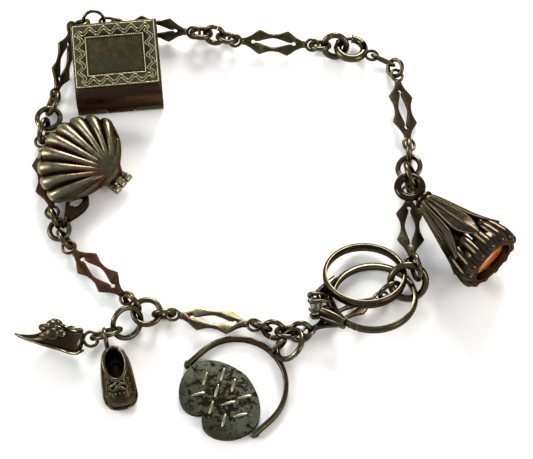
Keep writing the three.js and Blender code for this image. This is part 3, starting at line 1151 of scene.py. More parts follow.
@dataclass
class Chain:
    """The flat openwork links and the round connector rings.

    The waist and slit tables give a quarter of a leaf and of its opening, from the tip to the
    middle, as (distance along, half width). A neck is its foot and top radius and its height. A
    run is the rings that follow a link, by letter.
    """

    end: float = 6.3
    sheet: float = 0.5
    eye: float = 2.5
    eye_wire: float = 0.5
    facet: float = 0.12
    waist: tuple[Flat, ...] = (
        (5.3, 0.52), (4.6, 0.60), (3.7, 1.06), (2.9, 1.72), (2.3, 2.14), (1.75, 1.92), (0.9, 1.55),
        (0.0, 1.45),
    )
    slit: tuple[Flat, ...] = ((2.95, 0.12), (2.35, 0.20), (1.6, 0.46), (0.8, 0.70), (0.25, 0.82))
    keyhole: float = 0.34
    keyhole_at: float = 3.3
    neck: Point = (0.42, 0.26, 0.34)
    neck_at: float = 4.95
    neck_rise: float = 0.2
    butt: float = 0.07
    fuller: float = 0.2
    slimmer: float = -0.08
    tucked: tuple[str, ...] = ("ring_9b", "ring_9c")
    warm: tuple[int, ...] = (7, 8)
    dark: int = 6
    runs: tuple[str, ...] = ("abc", "abc", "abc", "ab", "abcd", "abc", "abc", "abc", "abc")
    single: tuple[str, ...] = ("thick_ring", "fob_ring", "spinner_ring", "shoes_ring", "slipper_ring")

    def around(self, half: Sequence[Flat]) -> Outline:
        """Mirrors a quarter outline, from its tip to the middle, into a whole one."""
        side = [*half, *[(-x, y) for x, y in reversed(half) if x]]
        return [*side, *[(-x, -y) for x, y in side]]

    def opening(self) -> Outline:
        """The leaf's opening: a keyhole at each neck, a slit, and a lozenge between."""
        key = arc(self.keyhole, 15, 150, 4, (self.keyhole_at, 0.0))
        return self.around([*key, *self.slit])

    def link(self) -> Piece:
        """Models one link along +X: four leaf lobes about an opening, and an eyelet at each end.

        Returns:
            The link.
        """
        leaf = plate(self.around(self.waist), self.sheet)
        boolean(leaf, plate(self.opening(), 3 * self.sheet))
        bevel(leaf, self.facet, 2, 60)
        eyes = [moved(torus(self.eye, self.eye_wire, 28, 8), shift(side * self.end)) for side in SIDES]
        foot, top, tall = self.neck
        necks = [
            moved(cylinder(foot, tall, 16, top), shift(side * self.neck_at, 0, self.neck_rise))
            for side in SIDES
        ]
        return smooth(union("link", leaf, *eyes, *necks), 32)

    def jump_ring(self, name: str, ring: Ring) -> Piece:
        """Models a jump ring with the fine butt where its wire meets, turned by its name.

        Args:
            name: The ring's name.
            ring: Its measures.

        Returns:
            The ring.
        """
        piece = torus(ring.outer, ring.wire * 1.06, 44, 12)
        cut = moved(block(ring.wire * 2, self.butt, ring.wire * 2), shift(ring.outer / 2 - ring.wire / 2))
        moved(cut, turn("Z", 37.0 * (sum(map(ord, name)) % 9)))
        boolean(piece, cut)
        return smooth(named(piece, name), 40)

    def finish_of(self, number: int) -> Finish:
        """A link's finish: two are redder and one is darker than the rest.

        Args:
            number: The link's number.

        Returns:
            The finish.
        """
        if number in self.warm:
            return Finish.WARM
        return Finish.DARK if number == self.dark else Finish.CHAIN

    def rings(self) -> list[str]:
        """The round rings' nodes: the runs between the links, then the single ones."""
        runs = [f"ring_{number}{letter}" for number, run in enumerate(self.runs, 1) for letter in run]
        return [*runs, *self.single]

    def build(self, shop: Workshop) -> None:
        """Builds every link and ring.

        Args:
            shop: The workshop that seats the pieces.
        """
        pattern = self.link()
        for number, _ in enumerate(self.runs, 1):
            node = f"link_{number}"
            leaf = duplicate(pattern, f"{node}_leaf")
            shop.put(leaf, shop.frame.bar(node), self.finish_of(number), node)
        bpy.data.objects.remove(pattern)
        for node in self.rings():
            ring = shop.frame.ring(node).fuller(self.slimmer if node in self.tucked else self.fuller)
            shop.put(self.jump_ring(f"{node}_wire", ring), ring.matrix(), Finish.WIRE, node)


@dataclass
class Clasp:
    """The bolt-ring clasp and the oblong ring beside it. Angles run round the clasp in degrees."""

    place: Place = Place(13.75, 31.35, 1.9, -17, 0, -13)
    oblong: Place = Place(18.95, 29.3, 1.7, -25, -7, -71)
    oblong_end: float = 0.9
    oblong_half: float = 1.07
    oblong_wire: float = 0.27
    mean: float = 2.15
    wire: float = 1.3
    bolt: float = 0.6
    gap: Flat = (100.0, 165.0)
    slot: Flat = (-2.0, 50.0)
    slot_radius: float = 0.33
    slot_rise: float = 0.6
    bore_gap: float = 0.12
    rim: float = 0.22
    eye: Flat = (2.45, 0.5)
    eye_at: float = 3.6
    stud_at: float = 45.0

    def bow(self, radius: float, start: float, end: float, steps: int) -> Piece:
        """A round bar along the clasp's circle, between two angles."""
        return wire([(x, y, 0.0) for x, y in arc(self.mean, start, end, steps)], radius)

    def body(self) -> Piece:
        """The tube with its thumb slot, mouth and eye.

        Returns:
            The tube with its rims and eye.
        """
        tube = self.bow(self.wire / 2, self.gap[1], 360 + self.gap[0], 16)
        boolean(tube, self.bow(self.bolt / 2 + self.bore_gap, self.slot[0] - 8, self.gap[0] + 6, 9))
        boolean(tube, moved(self.bow(self.slot_radius, *self.slot, 5), shift(0, 0, self.slot_rise)))
        rims = []
        for angle in self.gap:
            rim = moved(torus(self.wire + 0.16, self.rim, 24, 8), turn("X", 90))
            rims.append(moved(rim, turn("Z", angle) @ shift(self.mean)))
        eye = moved(torus(*self.eye, 28, 8), turn("Z", -4) @ shift(self.eye_at))
        return smooth(union("clasp_tube", tube, *rims, eye), 40)

    def bolt_bar(self) -> Piece:
        """The spring bolt and its thumb stud.

        Returns:
            The bolt.
        """
        bar = self.bow(self.bolt / 2, 36, self.gap[1] - 5, 9)
        stem = moved(cylinder(0.24, 0.72, 16), shift(self.mean, 0, 0.42))
        cap = moved(ball(0.33, 16, 8), shift(self.mean, 0, 0.8) @ scale(1, 1, 0.62))
        stud = moved(union("stud", stem, cap), turn("Z", self.stud_at))
        return smooth(union("clasp_bolt_bar", bar, stud), 40)

    def oblong_ring(self) -> Piece:
        """The stadium of wire between the clasp and the small ring.

        Returns:
            The ring.
        """
        end, half = self.oblong_end, self.oblong_half
        path = [*arc(end, -90, 90, 8, (half, 0)), *arc(end, 90, 270, 8, (-half, 0))]
        return smooth(wire([(x, y, 0.0) for x, y in path], self.oblong_wire, closed=True), 50)

    def build(self, shop: Workshop) -> None:
        """Builds the clasp and the oblong ring.

        Args:
            shop: The workshop that seats the pieces.
        """
        at = shop.at(self.place)
        shop.put(self.body(), at, Finish.WIRE, "clasp_body")
        shop.put(self.bolt_bar(), at, Finish.RING, "clasp_bolt", "clasp_slide")
        oblong = named(self.oblong_ring(), "oblong_ring_wire")
        shop.put(oblong, shop.at(self.oblong), Finish.WIRE, "oblong_ring")


@dataclass
class Book:
    """The book locket: a hinged cover with a tooled border, a tray of pages and a back plate.

    It lies along X with its spine towards -Y and its back on Z = 0. Insets are measured in from
    the cover's edges, and grow by the slope along the spine's edge.
    """

    place: Place = Place(-23.5, 21.6, 0.15, 5.5, 0, 16)
    width: float = 13.8
    depth: float = 12.9
    height: float = 5.1
    sheet: float = 0.65
    back: float = 0.6
    gap: float = 0.02
    cover_from: float = 2.4
    spine_low: float = 1.5
    spine_out: float = 2.88
    hinge: float = 1.3
    axis: Flat = (-0.35, 0.65)
    border: Flat = (0.4, 2.3)
    border_slope: float = 0.9
    wave: float = 0.42
    waves: tuple[int, int] = (5, 4)
    stroke_radius: float = 0.13
    stroke_apart: float = 0.25
    line_radii: Flat = (0.14, 0.13)
    bead: float = 0.34
    pin: float = 0.25
    leaves: int = 9
    leaf_pitch: float = 0.36

    def rectangle(self, inset: float) -> tuple[float, float, float]:
        """The cover's outline drawn in by an inset: its half width, near side and far side."""
        near = self.cover_from - 0.2 + inset * self.border_slope
        return self.width / 2 - inset, near, self.depth - inset

    def slab_within(self, inset: float, thick: float, z: float) -> Piece:
        """A flat slab over the cover, drawn in by an inset, centred at a height."""
        half, near, far = self.rectangle(inset)
        return moved(block(2 * half, far - near, thick), shift(0, (near + far) / 2, z))

    def extruded(self, section: Sequence[Flat]) -> Piece:
        """A sheet along the spine from a section of (y, z) points.

        Args:
            section: The sheet's corners.

        Returns:
            The sheet.
        """
        sheet = plate([(-y, z) for y, z in section], self.width - 2 * self.gap)
        moved(sheet, Matrix(((0, 0, 1, 0), (-1, 0, 0, 0), (0, 1, 0, 0), (0, 0, 0, 1))))
        return clean(sheet)

    def cover(self) -> Piece:
        """The flat cover, its corners rounded, with its plain raised panel.

        Returns:
            The cover.
        """
        top = self.height - self.gap
        low = top - self.sheet
        flat = [(self.depth, top), (self.cover_from, top), (self.cover_from, low), (self.depth, low)]
        sheet = bevel(self.extruded(flat), 0.16, 3, 40)
        half, near, far = self.rectangle(self.border[1] + 0.45)
        panel = bevel(block(2 * half, far - near, 0.2), 0.06)
        moved(panel, shift(0, (near + far) / 2, self.height - 0.06))
        return smooth(union("book_cover_sheet", sheet, panel), 38)

    def border_ground(self) -> Piece:
        """The dark ground between the border's two lines.

        Returns:
            The ground.
        """
        outer, inner = self.border
        z = self.height - self.gap
        ground = boolean(self.slab_within(outer, 0.06, z), self.slab_within(inner, 1.0, z))
        return named(ground, "book_border_ground")

    def line(self, inset: float, radius: float) -> Piece:
        """A raised line round the cover, inset from its edge.

        Args:
            inset: How far in from the cover's edges.
            radius: The line's radius.

        Returns:
            The line.
        """
        x, near, far = self.rectangle(inset)
        z = self.height - 0.03
        corners = [(-x, near), (x, near), (x, far), (-x, far)]
        bars = []
        for (x0, y0), (x1, y1) in zip(corners, [*corners[1:], corners[0]]):
            path = [(x0, y0, z), ((x0 + x1) / 2, (y0 + y1) / 2, z), (x1, y1, z)]
            bars.append(wire(path, radius, round_by=2))
        return union("line", *bars)

    def stroke(self, start: Flat, end: Flat, count: int, offset: float) -> Piece:
        """One wavy stroke along a side of the border, set off to one side of its middle.

        Args:
            start: The side's first corner.
            end: The side's last corner.
            count: How many waves it has.
            offset: How far it is set off from the middle.

        Returns:
            The stroke.
        """
        a, b = Vector(start), Vector(end)
        along = (b - a).normalized()
        out = Vector((along.y, -along.x))
        path = []
        for i in range(count * 4 + 1):
            sway = self.wave * math.sin(TAU * i / 4 + 0.01) + offset
            p = a.lerp(b, i / (count * 4)) + out * sway
            path.append((p.x, p.y, self.height + 0.01))
        return wire(path, self.stroke_radius, round_by=2)

    def scrolls(self) -> Piece:
        """The border's running wave between its two lines, in double strokes.

        Returns:
            The strokes as one piece.
        """
        x, near, far = self.rectangle(sum(self.border) / 2)
        corners = [(-x, near), (x, near), (x, far), (-x, far)]
        strokes = []
        for i, start in enumerate(corners):
            end = corners[(i + 1) % 4]
            for side in SIDES:
                strokes.append(self.stroke(start, end, self.waves[i % 2], side * self.stroke_apart))
        return union("scrolls", *strokes)

    def beads(self) -> Piece:
        """Small beads at the corners of the border.

        Returns:
            The beads as one piece.
        """
        x, near, far = self.rectangle(sum(self.border) / 2)
        corners = [(px, py) for px in (-x, x) for py in (near, far)]
        places = [shift(*corner, self.height - 0.08) @ scale(1, 1, 0.55) for corner in corners]
        return union("beads", *repeat(ball(self.bead, 12, 8), places))

    def tooling(self) -> Piece:
        """The raised lines, waves and beads of the border."""
        lines = [self.line(inset, radius) for inset, radius in zip(self.border, self.line_radii)]
        return smooth(union("book_tooling", *lines, self.scrolls(), self.beads()), 60)

    def spine_sheet(self) -> Piece:
        """The rounded spine, from the cover's edge down to the hinge.

        Returns:
            The sheet.
        """
        near, out, thin = self.cover_from - 0.04, self.spine_out - 0.04, self.sheet
        rise = self.height - self.spine_low - self.gap
        angles = [math.radians(a) for a in range(90, -1, -9)]
        outer = []
        for a in angles:
            swell = 0.06 * math.sin(2 * a)
            outer.append((near - out * math.cos(a), self.spine_low + rise * math.sin(a) + swell))
        inner = [
            (near - (out - thin) * math.cos(a), self.spine_low + (rise - thin) * math.sin(a))
            for a in reversed(angles)
        ]
        return bevel(self.extruded([*outer, *inner]), 0.1, 2, 40)

    def knuckle(self, radius: float, length: float, x: float = 0.0) -> Piece:
        """A length of pipe about the hinge's axis."""
        return moved(cylinder(radius, length, 28), shift(x, *self.axis) @ turn("Y", 90))

    def bound_spine(self) -> Piece:
        """The spine with its end bands and the hinge's middle knuckle.

        Returns:
            The spine.
        """
        third = self.width / 3
        pipe = bevel(self.knuckle(self.hinge / 2 - self.gap, third - 0.45), 0.07, 2, 50)
        web = moved(bevel(block(third - 0.5, 0.45, 1.2), 0.08), shift(0, -0.3, 1.15))
        out = self.spine_out - 0.08
        angles = [math.radians(a) for a in range(0, 91, 10)]
        bands = []
        for x in (-self.width / 2 + 0.3, self.width / 2 - 0.3):
            path = [
                (x, self.cover_from - out * math.cos(a), self.spine_low + 3.5 * math.sin(a))
                for a in angles
            ]
            bands.append(wire(path, self.stroke_radius, round_by=2))
        return smooth(union("book_spine", self.spine_sheet(), web, pipe, *bands), 38)

    def tray(self) -> Piece:
        """The tray: walls grooved like page edges, with a frame lip inside.

        Returns:
            The tray.
        """
        deep = self.depth - self.cover_from - 0.6
        tall = self.height - self.sheet - 0.15
        y = self.cover_from + 0.2 + deep / 2
        wide = self.width - 1.0
        box = moved(block(wide, deep, tall), shift(0, y, tall / 2))
        boolean(box, moved(block(wide - 1.2, deep - 1.2, tall), shift(0, y, self.back + tall / 2)))
        bevel(box, 0.08, 2)
        x, near, far = wide / 2 - 0.015, y - deep / 2 + 0.015, y + deep / 2 - 0.015
        walls = (((-x, near), (-x, far)), ((x, near), (x, far)), ((-x, far), (x, far)))
        leaves = []
        for i in range(self.leaves):
            z = 0.95 + i * self.leaf_pitch
            leaves += [wire([(*start, z), (*end, z)], 0.085, round_by=1) for start, end in walls]
        lip = moved(block(wide - 1.0, deep - 1.0, 0.25), shift(0, y, tall - 0.75))
        boolean(lip, moved(block(wide - 2.0, deep - 2.0, 1), shift(0, y, tall - 0.75)))
        return union("tray", box, lip, *leaves)

    def base(self) -> Piece:
        """The back plate, the tray, the outer knuckles and the pin.

        Returns:
            The base.
        """
        deep = self.depth - 0.4
        third = self.width / 3
        slab = moved(block(self.width, deep, self.back), shift(0, 0.4 + deep / 2, self.back / 2))
        boolean(slab, moved(block(third + 0.4, 1.6, 2), shift(0, 0.3)))
        parts = [bevel(slab, 0.12, 3), self.tray()]
        for side in SIDES:
            pipe = bevel(self.knuckle(self.hinge / 2, third - 0.05, side * third), 0.08, 2, 50)
            leaf = bevel(block(third, 1.4, self.back), 0.06)
            moved(leaf, shift(side * third, 0.5, self.back / 2))
            end = side * (self.width / 2 - 0.12)
            cap = moved(ball(0.3, 14, 8), shift(end, *self.axis) @ scale(0.5, 1, 1))
            parts += [pipe, leaf, cap]
        pin = moved(cylinder(self.pin, self.width - 1, 16), shift(0, *self.axis) @ turn("Y", 90))
        return smooth(union("book_tray_and_back", *parts, pin), 35)

    def build(self, shop: Workshop) -> None:
        """Builds the base, the cover and its tooling, and the spine.

        Args:
            shop: The workshop that seats the pieces.
        """
        at = shop.at(self.place)
        shop.put(self.base(), at, Finish.BOOK, "book_base")
        shop.put(self.cover(), at, Finish.BOOK, "book_lid", "book_cover")
        shop.put(self.border_ground(), at, Finish.GROUND, "book_lid", "book_cover")
        shop.put(self.tooling(), at, Finish.TOOLED, "book_lid", "book_cover")
        # The spine wears the darker reddish finish, a painted reflection.
        shop.put(self.bound_spine(), at, Finish.SPINE, "book_lid", "book_cover")


@dataclass
class Shell:
    """The scallop shell locket: two ribbed halves, a hinge and a hanging eye.

    The fan opens along +X from its hub, its rim on Z = 0, between -spread and left in degrees.
    Each drop is how far the rim falls back over an angle, right and left of its longest reach,
    and each shoulder is the angle over which it then falls to the hinge.
    """

    place: Place = Place(-25.3, 9.0, 2.5, 143, 9, 0)
    reach: float = 10.9
    spread: float = 60.0
    left: float = 75.0
    longest: float = 20.0
    lobe: float = 15.0
    drops: tuple[Flat, Flat] = ((2.9, 85.0), (0.9, 50.0))
    shoulders: Flat = (64.0, 54.0)
    scallop: float = 0.55
    neck: float = 2.5
    height: float = 2.28
    wall: float = 0.4
    rib_height: float = 0.9
    hinge_x: float = -3.3
    pin: float = 0.25
    knuckle_radius: float = 0.6
    knuckle_long: float = 1.08
    knuckle_at: float = 1.3
    catch_at: Flat = (22, 28)
    catch_bead: float = 0.36
    eye: Flat = (2.7, 0.47)
    eye_at: Point = (0.77, 4.7, -1.25)
    hub_back: float = 1.5
    rings: int = 20
    around: int = 144

    def edge(self, angle: float) -> float:
        """How far the rim reaches at an angle: longest left of the middle, least at the hinge.

        Args:
            angle: The angle in degrees.

        Returns:
            The distance from the hub.
        """
        (right_drop, right_over), (left_drop, left_over) = self.drops
        if angle < self.longest:
            fan = self.reach - right_drop * ((self.longest - max(angle, -self.spread)) / right_over) ** 2
        else:
            fan = self.reach - left_drop * ((min(angle, self.left) - self.longest) / left_over) ** 2
        past = max(angle - self.left, -self.spread - angle)
        if past <= 0:
            return fan - self.scallop + self.scallop * self.rib(angle) ** 0.5
        fall = min(past / self.shoulders[0 if angle < 0 else 1], 1)
        return self.neck + (fan - self.scallop - self.neck) * (1 - math.sin(fall * math.pi / 2)) ** 1.2

    def rib(self, angle: float) -> float:
        """A rib's height from 0 in a groove to 1 on a crest, at an angle in degrees.

        Args:
            angle: The angle in degrees.

        Returns:
            The height.
        """
        if not -self.spread < angle < self.left:
            return 0.0
        return abs(math.sin((angle + self.spread) / self.lobe * math.pi)) ** 0.75

    def height_at(self, share: float, angle: float) -> float:
        """The outside's height at a share of the way from the hub to the rim.

        Args:
            share: The share of the way from the hub, 0 to 1.
            angle: The angle in degrees.

        Returns:
            The height in millimetres.
        """
        crown = self.height * (1 - share**2.8) ** 0.72 * 0.98 + 0.06
        fanned = -self.spread - 8 < angle < self.left + 8
        crest = self.rib(angle) - 0.7 if fanned else -0.3
        fade = min(max((share - 0.2) / 0.4, 0.0), 1.0) * (1 - 0.4 * share**6)
        growth = 0.03 * math.sin(share * 46) * share
        return max(crown + self.rib_height * crest * fade * (0.35 + share * 0.75) + growth, 0.07)

    def skin_point(self, p: Vector, under: bool) -> Vector:
        """Moves a point of the two flat discs onto the outside or the lining.

        Args:
            p: The point.
            under: Whether it is the lower half.

        Returns:
            The point's new place.
        """
        share = min(math.hypot(p.x, p.y), 1.0)
        turned = math.atan2(p.y, p.x)
        angle = math.degrees(-turned if under else turned)
        flat = 0.97 - 0.67 * min(max((angle - 42) / 20, 0), 1) if under else 1.0
        outside = self.height_at(share, angle) * flat
        lining = (self.height - self.wall) * (1 - share**2.8) * 0.85 * flat
        inner = 0.04 if share > 0.9 else max(min(lining, outside - 0.12), 0.04)
        reach = share * self.edge(angle)
        back = self.hub_back * (1 - share) ** 1.3
        height = outside if p.z > 0 else inner
        return Vector((reach * math.cos(turned) - back, reach * math.sin(turned), height))

    def dish(self, under: bool) -> Piece:
        """One half: the ribbed outside with a smooth lining, spun as discs and then shaped.

        Args:
            under: Whether it is the lower half.

        Returns:
            The half, its rim on the parting plane.
        """
        hub = 0.001
        outer = [(hub + (1 - hub) * i / self.rings, 1.0) for i in range(self.rings + 1)]
        lining = [(1.0, -0.5), (0.93, -1.0), (0.6, -1.0), (0.3, -1.0), (hub, -1.0)]
        ray = trace([(share, 0.0, side) for share, side in [*outer, *lining]])
        discs = clean(spun(ray, self.around, (0, 0, 1)), 0.0025)
        return clean(reshape(discs, lambda p: self.skin_point(p, under)), 0.0005)

    def knuckle(self, y: float, length: float) -> Piece:
        """One hinge knuckle along Y."""
        pipe = moved(cylinder(self.knuckle_radius, length, 24), shift(self.hinge_x, y) @ turn("X", 90))
        return bevel(pipe, 0.08, 2, 50)

    def lug(self, y: float, z: float, length: float) -> Piece:
        """The leaf from a knuckle to its half."""
        return moved(bevel(block(1.4, length, 0.5), 0.08), shift(self.hinge_x + 0.95, y, z))

    def catch(self) -> Piece:
        """The two little catch beads on the upper rim, across from the hinge.

        Returns:
            The beads as one piece.
        """
        beads = []
        for angle in self.catch_at:
            reach, a = self.edge(angle) - 0.05, math.radians(angle)
            place = shift(reach * math.cos(a), reach * math.sin(a), 0.3)
            beads.append(moved(ball(self.catch_bead, 12, 8), place))
        return union("catch", *beads)

    def lower(self) -> Piece:
        """The lower half, the outer knuckles, the pin and the hanging eye.

        Returns:
            The lower half.
        """
        dish = moved(self.dish(under=True), turn("X", 180))
        pin = moved(cylinder(self.pin, 3.5, 16), shift(self.hinge_x) @ turn("X", 90))
        parts = [dish, pin]
        for side in SIDES:
            y = side * self.knuckle_at
            cap = moved(ball(0.34, 14, 8), shift(self.hinge_x, side * 1.82) @ scale(1, 0.5, 1))
            parts += [self.knuckle(y, self.knuckle_long), self.lug(y, -0.35, self.knuckle_long), cap]
        eye = moved(torus(*self.eye, 32, 10), shift(*self.eye_at) @ turn("Z", -83) @ turn("X", 90))
        return smooth(union("shell_lower_half", *parts, eye), 60)

    def upper(self) -> Piece:
        """The upper half with its catch and its middle knuckle.

        Returns:
            The upper half.
        """
        middle = self.knuckle_long - 0.02
        parts = [self.dish(under=False), self.catch(), self.knuckle(0, middle), self.lug(0, 0.35, middle)]
        return smooth(union("shell_upper_half", *parts), 60)

    def build(self, shop: Workshop) -> None:
        """Builds both halves.

        Args:
            shop: The workshop that seats the pieces.
        """
        at = shop.at(self.place)
        shop.put(self.lower(), at, Finish.SHELL, "shell_base")
        shop.put(self.upper(), at, Finish.SHELL, "shell_lid", "shell_upper")


@dataclass
class Clip:
    """The lobster clip under the shell. The side and lever tables hold (x, y)."""

    place: Place = Place(-31.0, 1.35, 1.6, 63, -3, 2)
    length: float = 4.9
    round: float = 1.7
    thick: float = 1.4
    hole: Flat = (1.15, 0.66)
    hole_back: float = 1.95
    eye: Flat = (2.3, 0.62)
    rivet: float = 0.32
    side: tuple[Flat, ...] = ((-0.4, 0.5), (0.2, 0.75), (1.0, 1.15), (1.9, 1.48), (2.6, 1.64))
    lever_side: tuple[Flat, ...] = (
        (1.85, 1.05), (2.6, 1.02), (3.75, 1.1), (3.75, 1.5), (3.2, 1.58), (2.6, 1.78), (2.2, 1.78),
        (1.9, 1.6),
    )

    def body(self) -> Piece:
        """The tapered claw body with its eye.

        Returns:
            The claw body.
        """
        nose = arc(self.round - 0.02, 90, -90, 12, (self.length - self.round, 0))
        claw = plate([*self.side, *nose, *[(x, -y) for x, y in reversed(self.side)]], self.thick)
        long, wide = self.hole
        oval = [(self.length - self.hole_back + long * x, wide * y) for x, y in arc(1, 0, 345, 23)]
        boolean(claw, plate(oval, 3))
        boolean(claw, moved(block(2.2, 2.2, 3), shift(2.8, 1.4)))
        bevel(claw, 0.2, 3, 35)
        eye = moved(torus(*self.eye, 28, 10), shift(-0.9) @ turn("X", 90))
        rivet = moved(cylinder(self.rivet, self.thick + 0.08, 16), shift(1.55, 0.95))
        return smooth(union("clip_claw", claw, eye, bevel(rivet, 0.05)), 40)

    def lever(self) -> Piece:
        """The thumb lever that closes the mouth.

        Returns:
            The lever.
        """
        bar = bevel(plate(self.lever_side, 0.78), 0.1, 2)
        tab = moved(ball(0.3, 14, 8), shift(2.42, 1.62) @ scale(1.1, 0.6, 1.15))
        return smooth(union("clip_thumb_lever", bar, tab), 40)

    def build(self, shop: Workshop) -> None:
        """Builds the clip.

        Args:
            shop: The workshop that seats the pieces.
        """
        at = shop.at(self.place)
        # The claw body borrows the spine's darker reddish finish, a painted reflection.
        shop.put(self.body(), at, Finish.SPINE, "clip_body")
        shop.put(self.lever(), at, Finish.WIRE, "clip_lever", "clip_thumb")


@dataclass
class Slipper:
    """The pointed slipper: a long thin toe, a flared bow, a trimmed opening and a loop at the heel.

    Sections run from heel to toe as (x, low, high, width). The bow's lumps are (x, y, z), three
    radii and a heading in degrees.
    """

    place: Place = Place(-27.9, -21.95, 1.95, 164, 1, 65)
    sections: tuple[Section, ...] = (
        (0.3, 0.5, 3.3, 1.8), (0.9, 0.0, 3.8, 2.9), (2.2, -0.1, 3.9, 3.3), (3.4, 0.0, 3.8, 3.4),
        (4.6, 0.0, 3.6, 3.6), (5.8, 0.0, 3.2, 3.6), (6.8, 0.0, 2.2, 3.0), (8.0, 0.0, 1.2, 2.0),
        (9.5, 0.08, 0.9, 1.2), (10.75, 0.3, 0.65, 0.4),
    )
    opening_at: float = 2.8
    opening: Point = (1.85, 1.1, 2.4)
    trim_knots: int = 28
    loop: Flat = (2.7, 0.5)
    loop_at: Point = (-0.6, 0, 2.9)
    lumps: tuple[tuple[float, ...], ...] = (
        (5.3, 1.1, 3.5, 1.15, 0.9, 0.9, 24), (5.3, -1.1, 3.5, 1.15, 0.9, 0.9, -24),
        (6.7, 0.9, 2.7, 1.0, 0.45, 0.6, -32), (6.7, -0.9, 2.7, 1.0, 0.45, 0.6, 32),
        (5.0, 1.8, 2.3, 1.1, 0.5, 0.95, 0), (6.2, 1.7, 1.7, 0.8, 0.4, 0.6, -20),
        (3.7, 1.8, 2.7, 0.8, 0.4, 0.55, 15), (5.5, 0, 3.85, 0.65, 0.6, 0.65, 0),
        (4.2, 1.5, 3.2, 0.8, 0.35, 0.55, 10), (4.2, -1.5, 3.2, 0.8, 0.35, 0.55, -10),
    )

    def shoe(self) -> Piece:
        """The shoe's skin with its foot opening.

        Returns:
            The shoe.
        """
        skin = subdivide(loft("slipper_skin", [shoe_section(*s) for s in self.sections]))
        hollow = moved(ball(1.0, 28, 16), shift(self.opening_at, 0, 3.8) @ scale(*self.opening))
        return boolean(skin, hollow)

    def trim(self) -> Piece:
        """The wavy rolled edge of the foot opening.

        Returns:
            The trim.
        """
        path = []
        for i in range(self.trim_knots):
            a = TAU * i / self.trim_knots
            x = self.opening_at + 1.78 * math.cos(a)
            path.append((x, 1.12 * math.sin(a), 3.82 - 0.05 * (x - 1.2) + 0.1 * math.sin(7 * a)))
        return wire(path, 0.2, closed=True, round_by=2)

    def bow(self) -> Piece:
        """The lumpy bow: two loops, two tails and a knot.

        Returns:
            The bow.
        """
        lumps = []
        for x, y, z, long, wide, tall, heading in self.lumps:
            place = shift(x, y, z) @ turn("Z", heading) @ scale(long, wide, tall)
            lumps.append(moved(ball(1.0, 20, 12), place))
        folds = []
        for side in SIDES:
            path = [(5.6, side * 0.4, 4.05), (5.4, side * 0.95, 4.3), (5.5, side * 1.6, 3.95)]
            folds.append(wire(path, (0.1, 0.14, 0.1), round_by=2))
        return union("bow", *lumps, *folds)

    def build(self, shop: Workshop) -> None:
        """Builds the slipper.

        Args:
            shop: The workshop that seats the pieces.
        """
        loop = moved(torus(*self.loop, 32, 10), shift(*self.loop_at) @ turn("X", 90))
        heel = moved(bevel(block(0.7, 1.3, 0.8), 0.15), shift(0.95, 0, 0.5))
        sole = welt(self.sections, 0.0, 0.28)
        piece = union("slipper_shoe", self.shoe(), sole, self.trim(), self.bow(), loop, heel)
        shop.put(smooth(piece, 45), shop.at(self.place), Finish.DARK, "slipper")


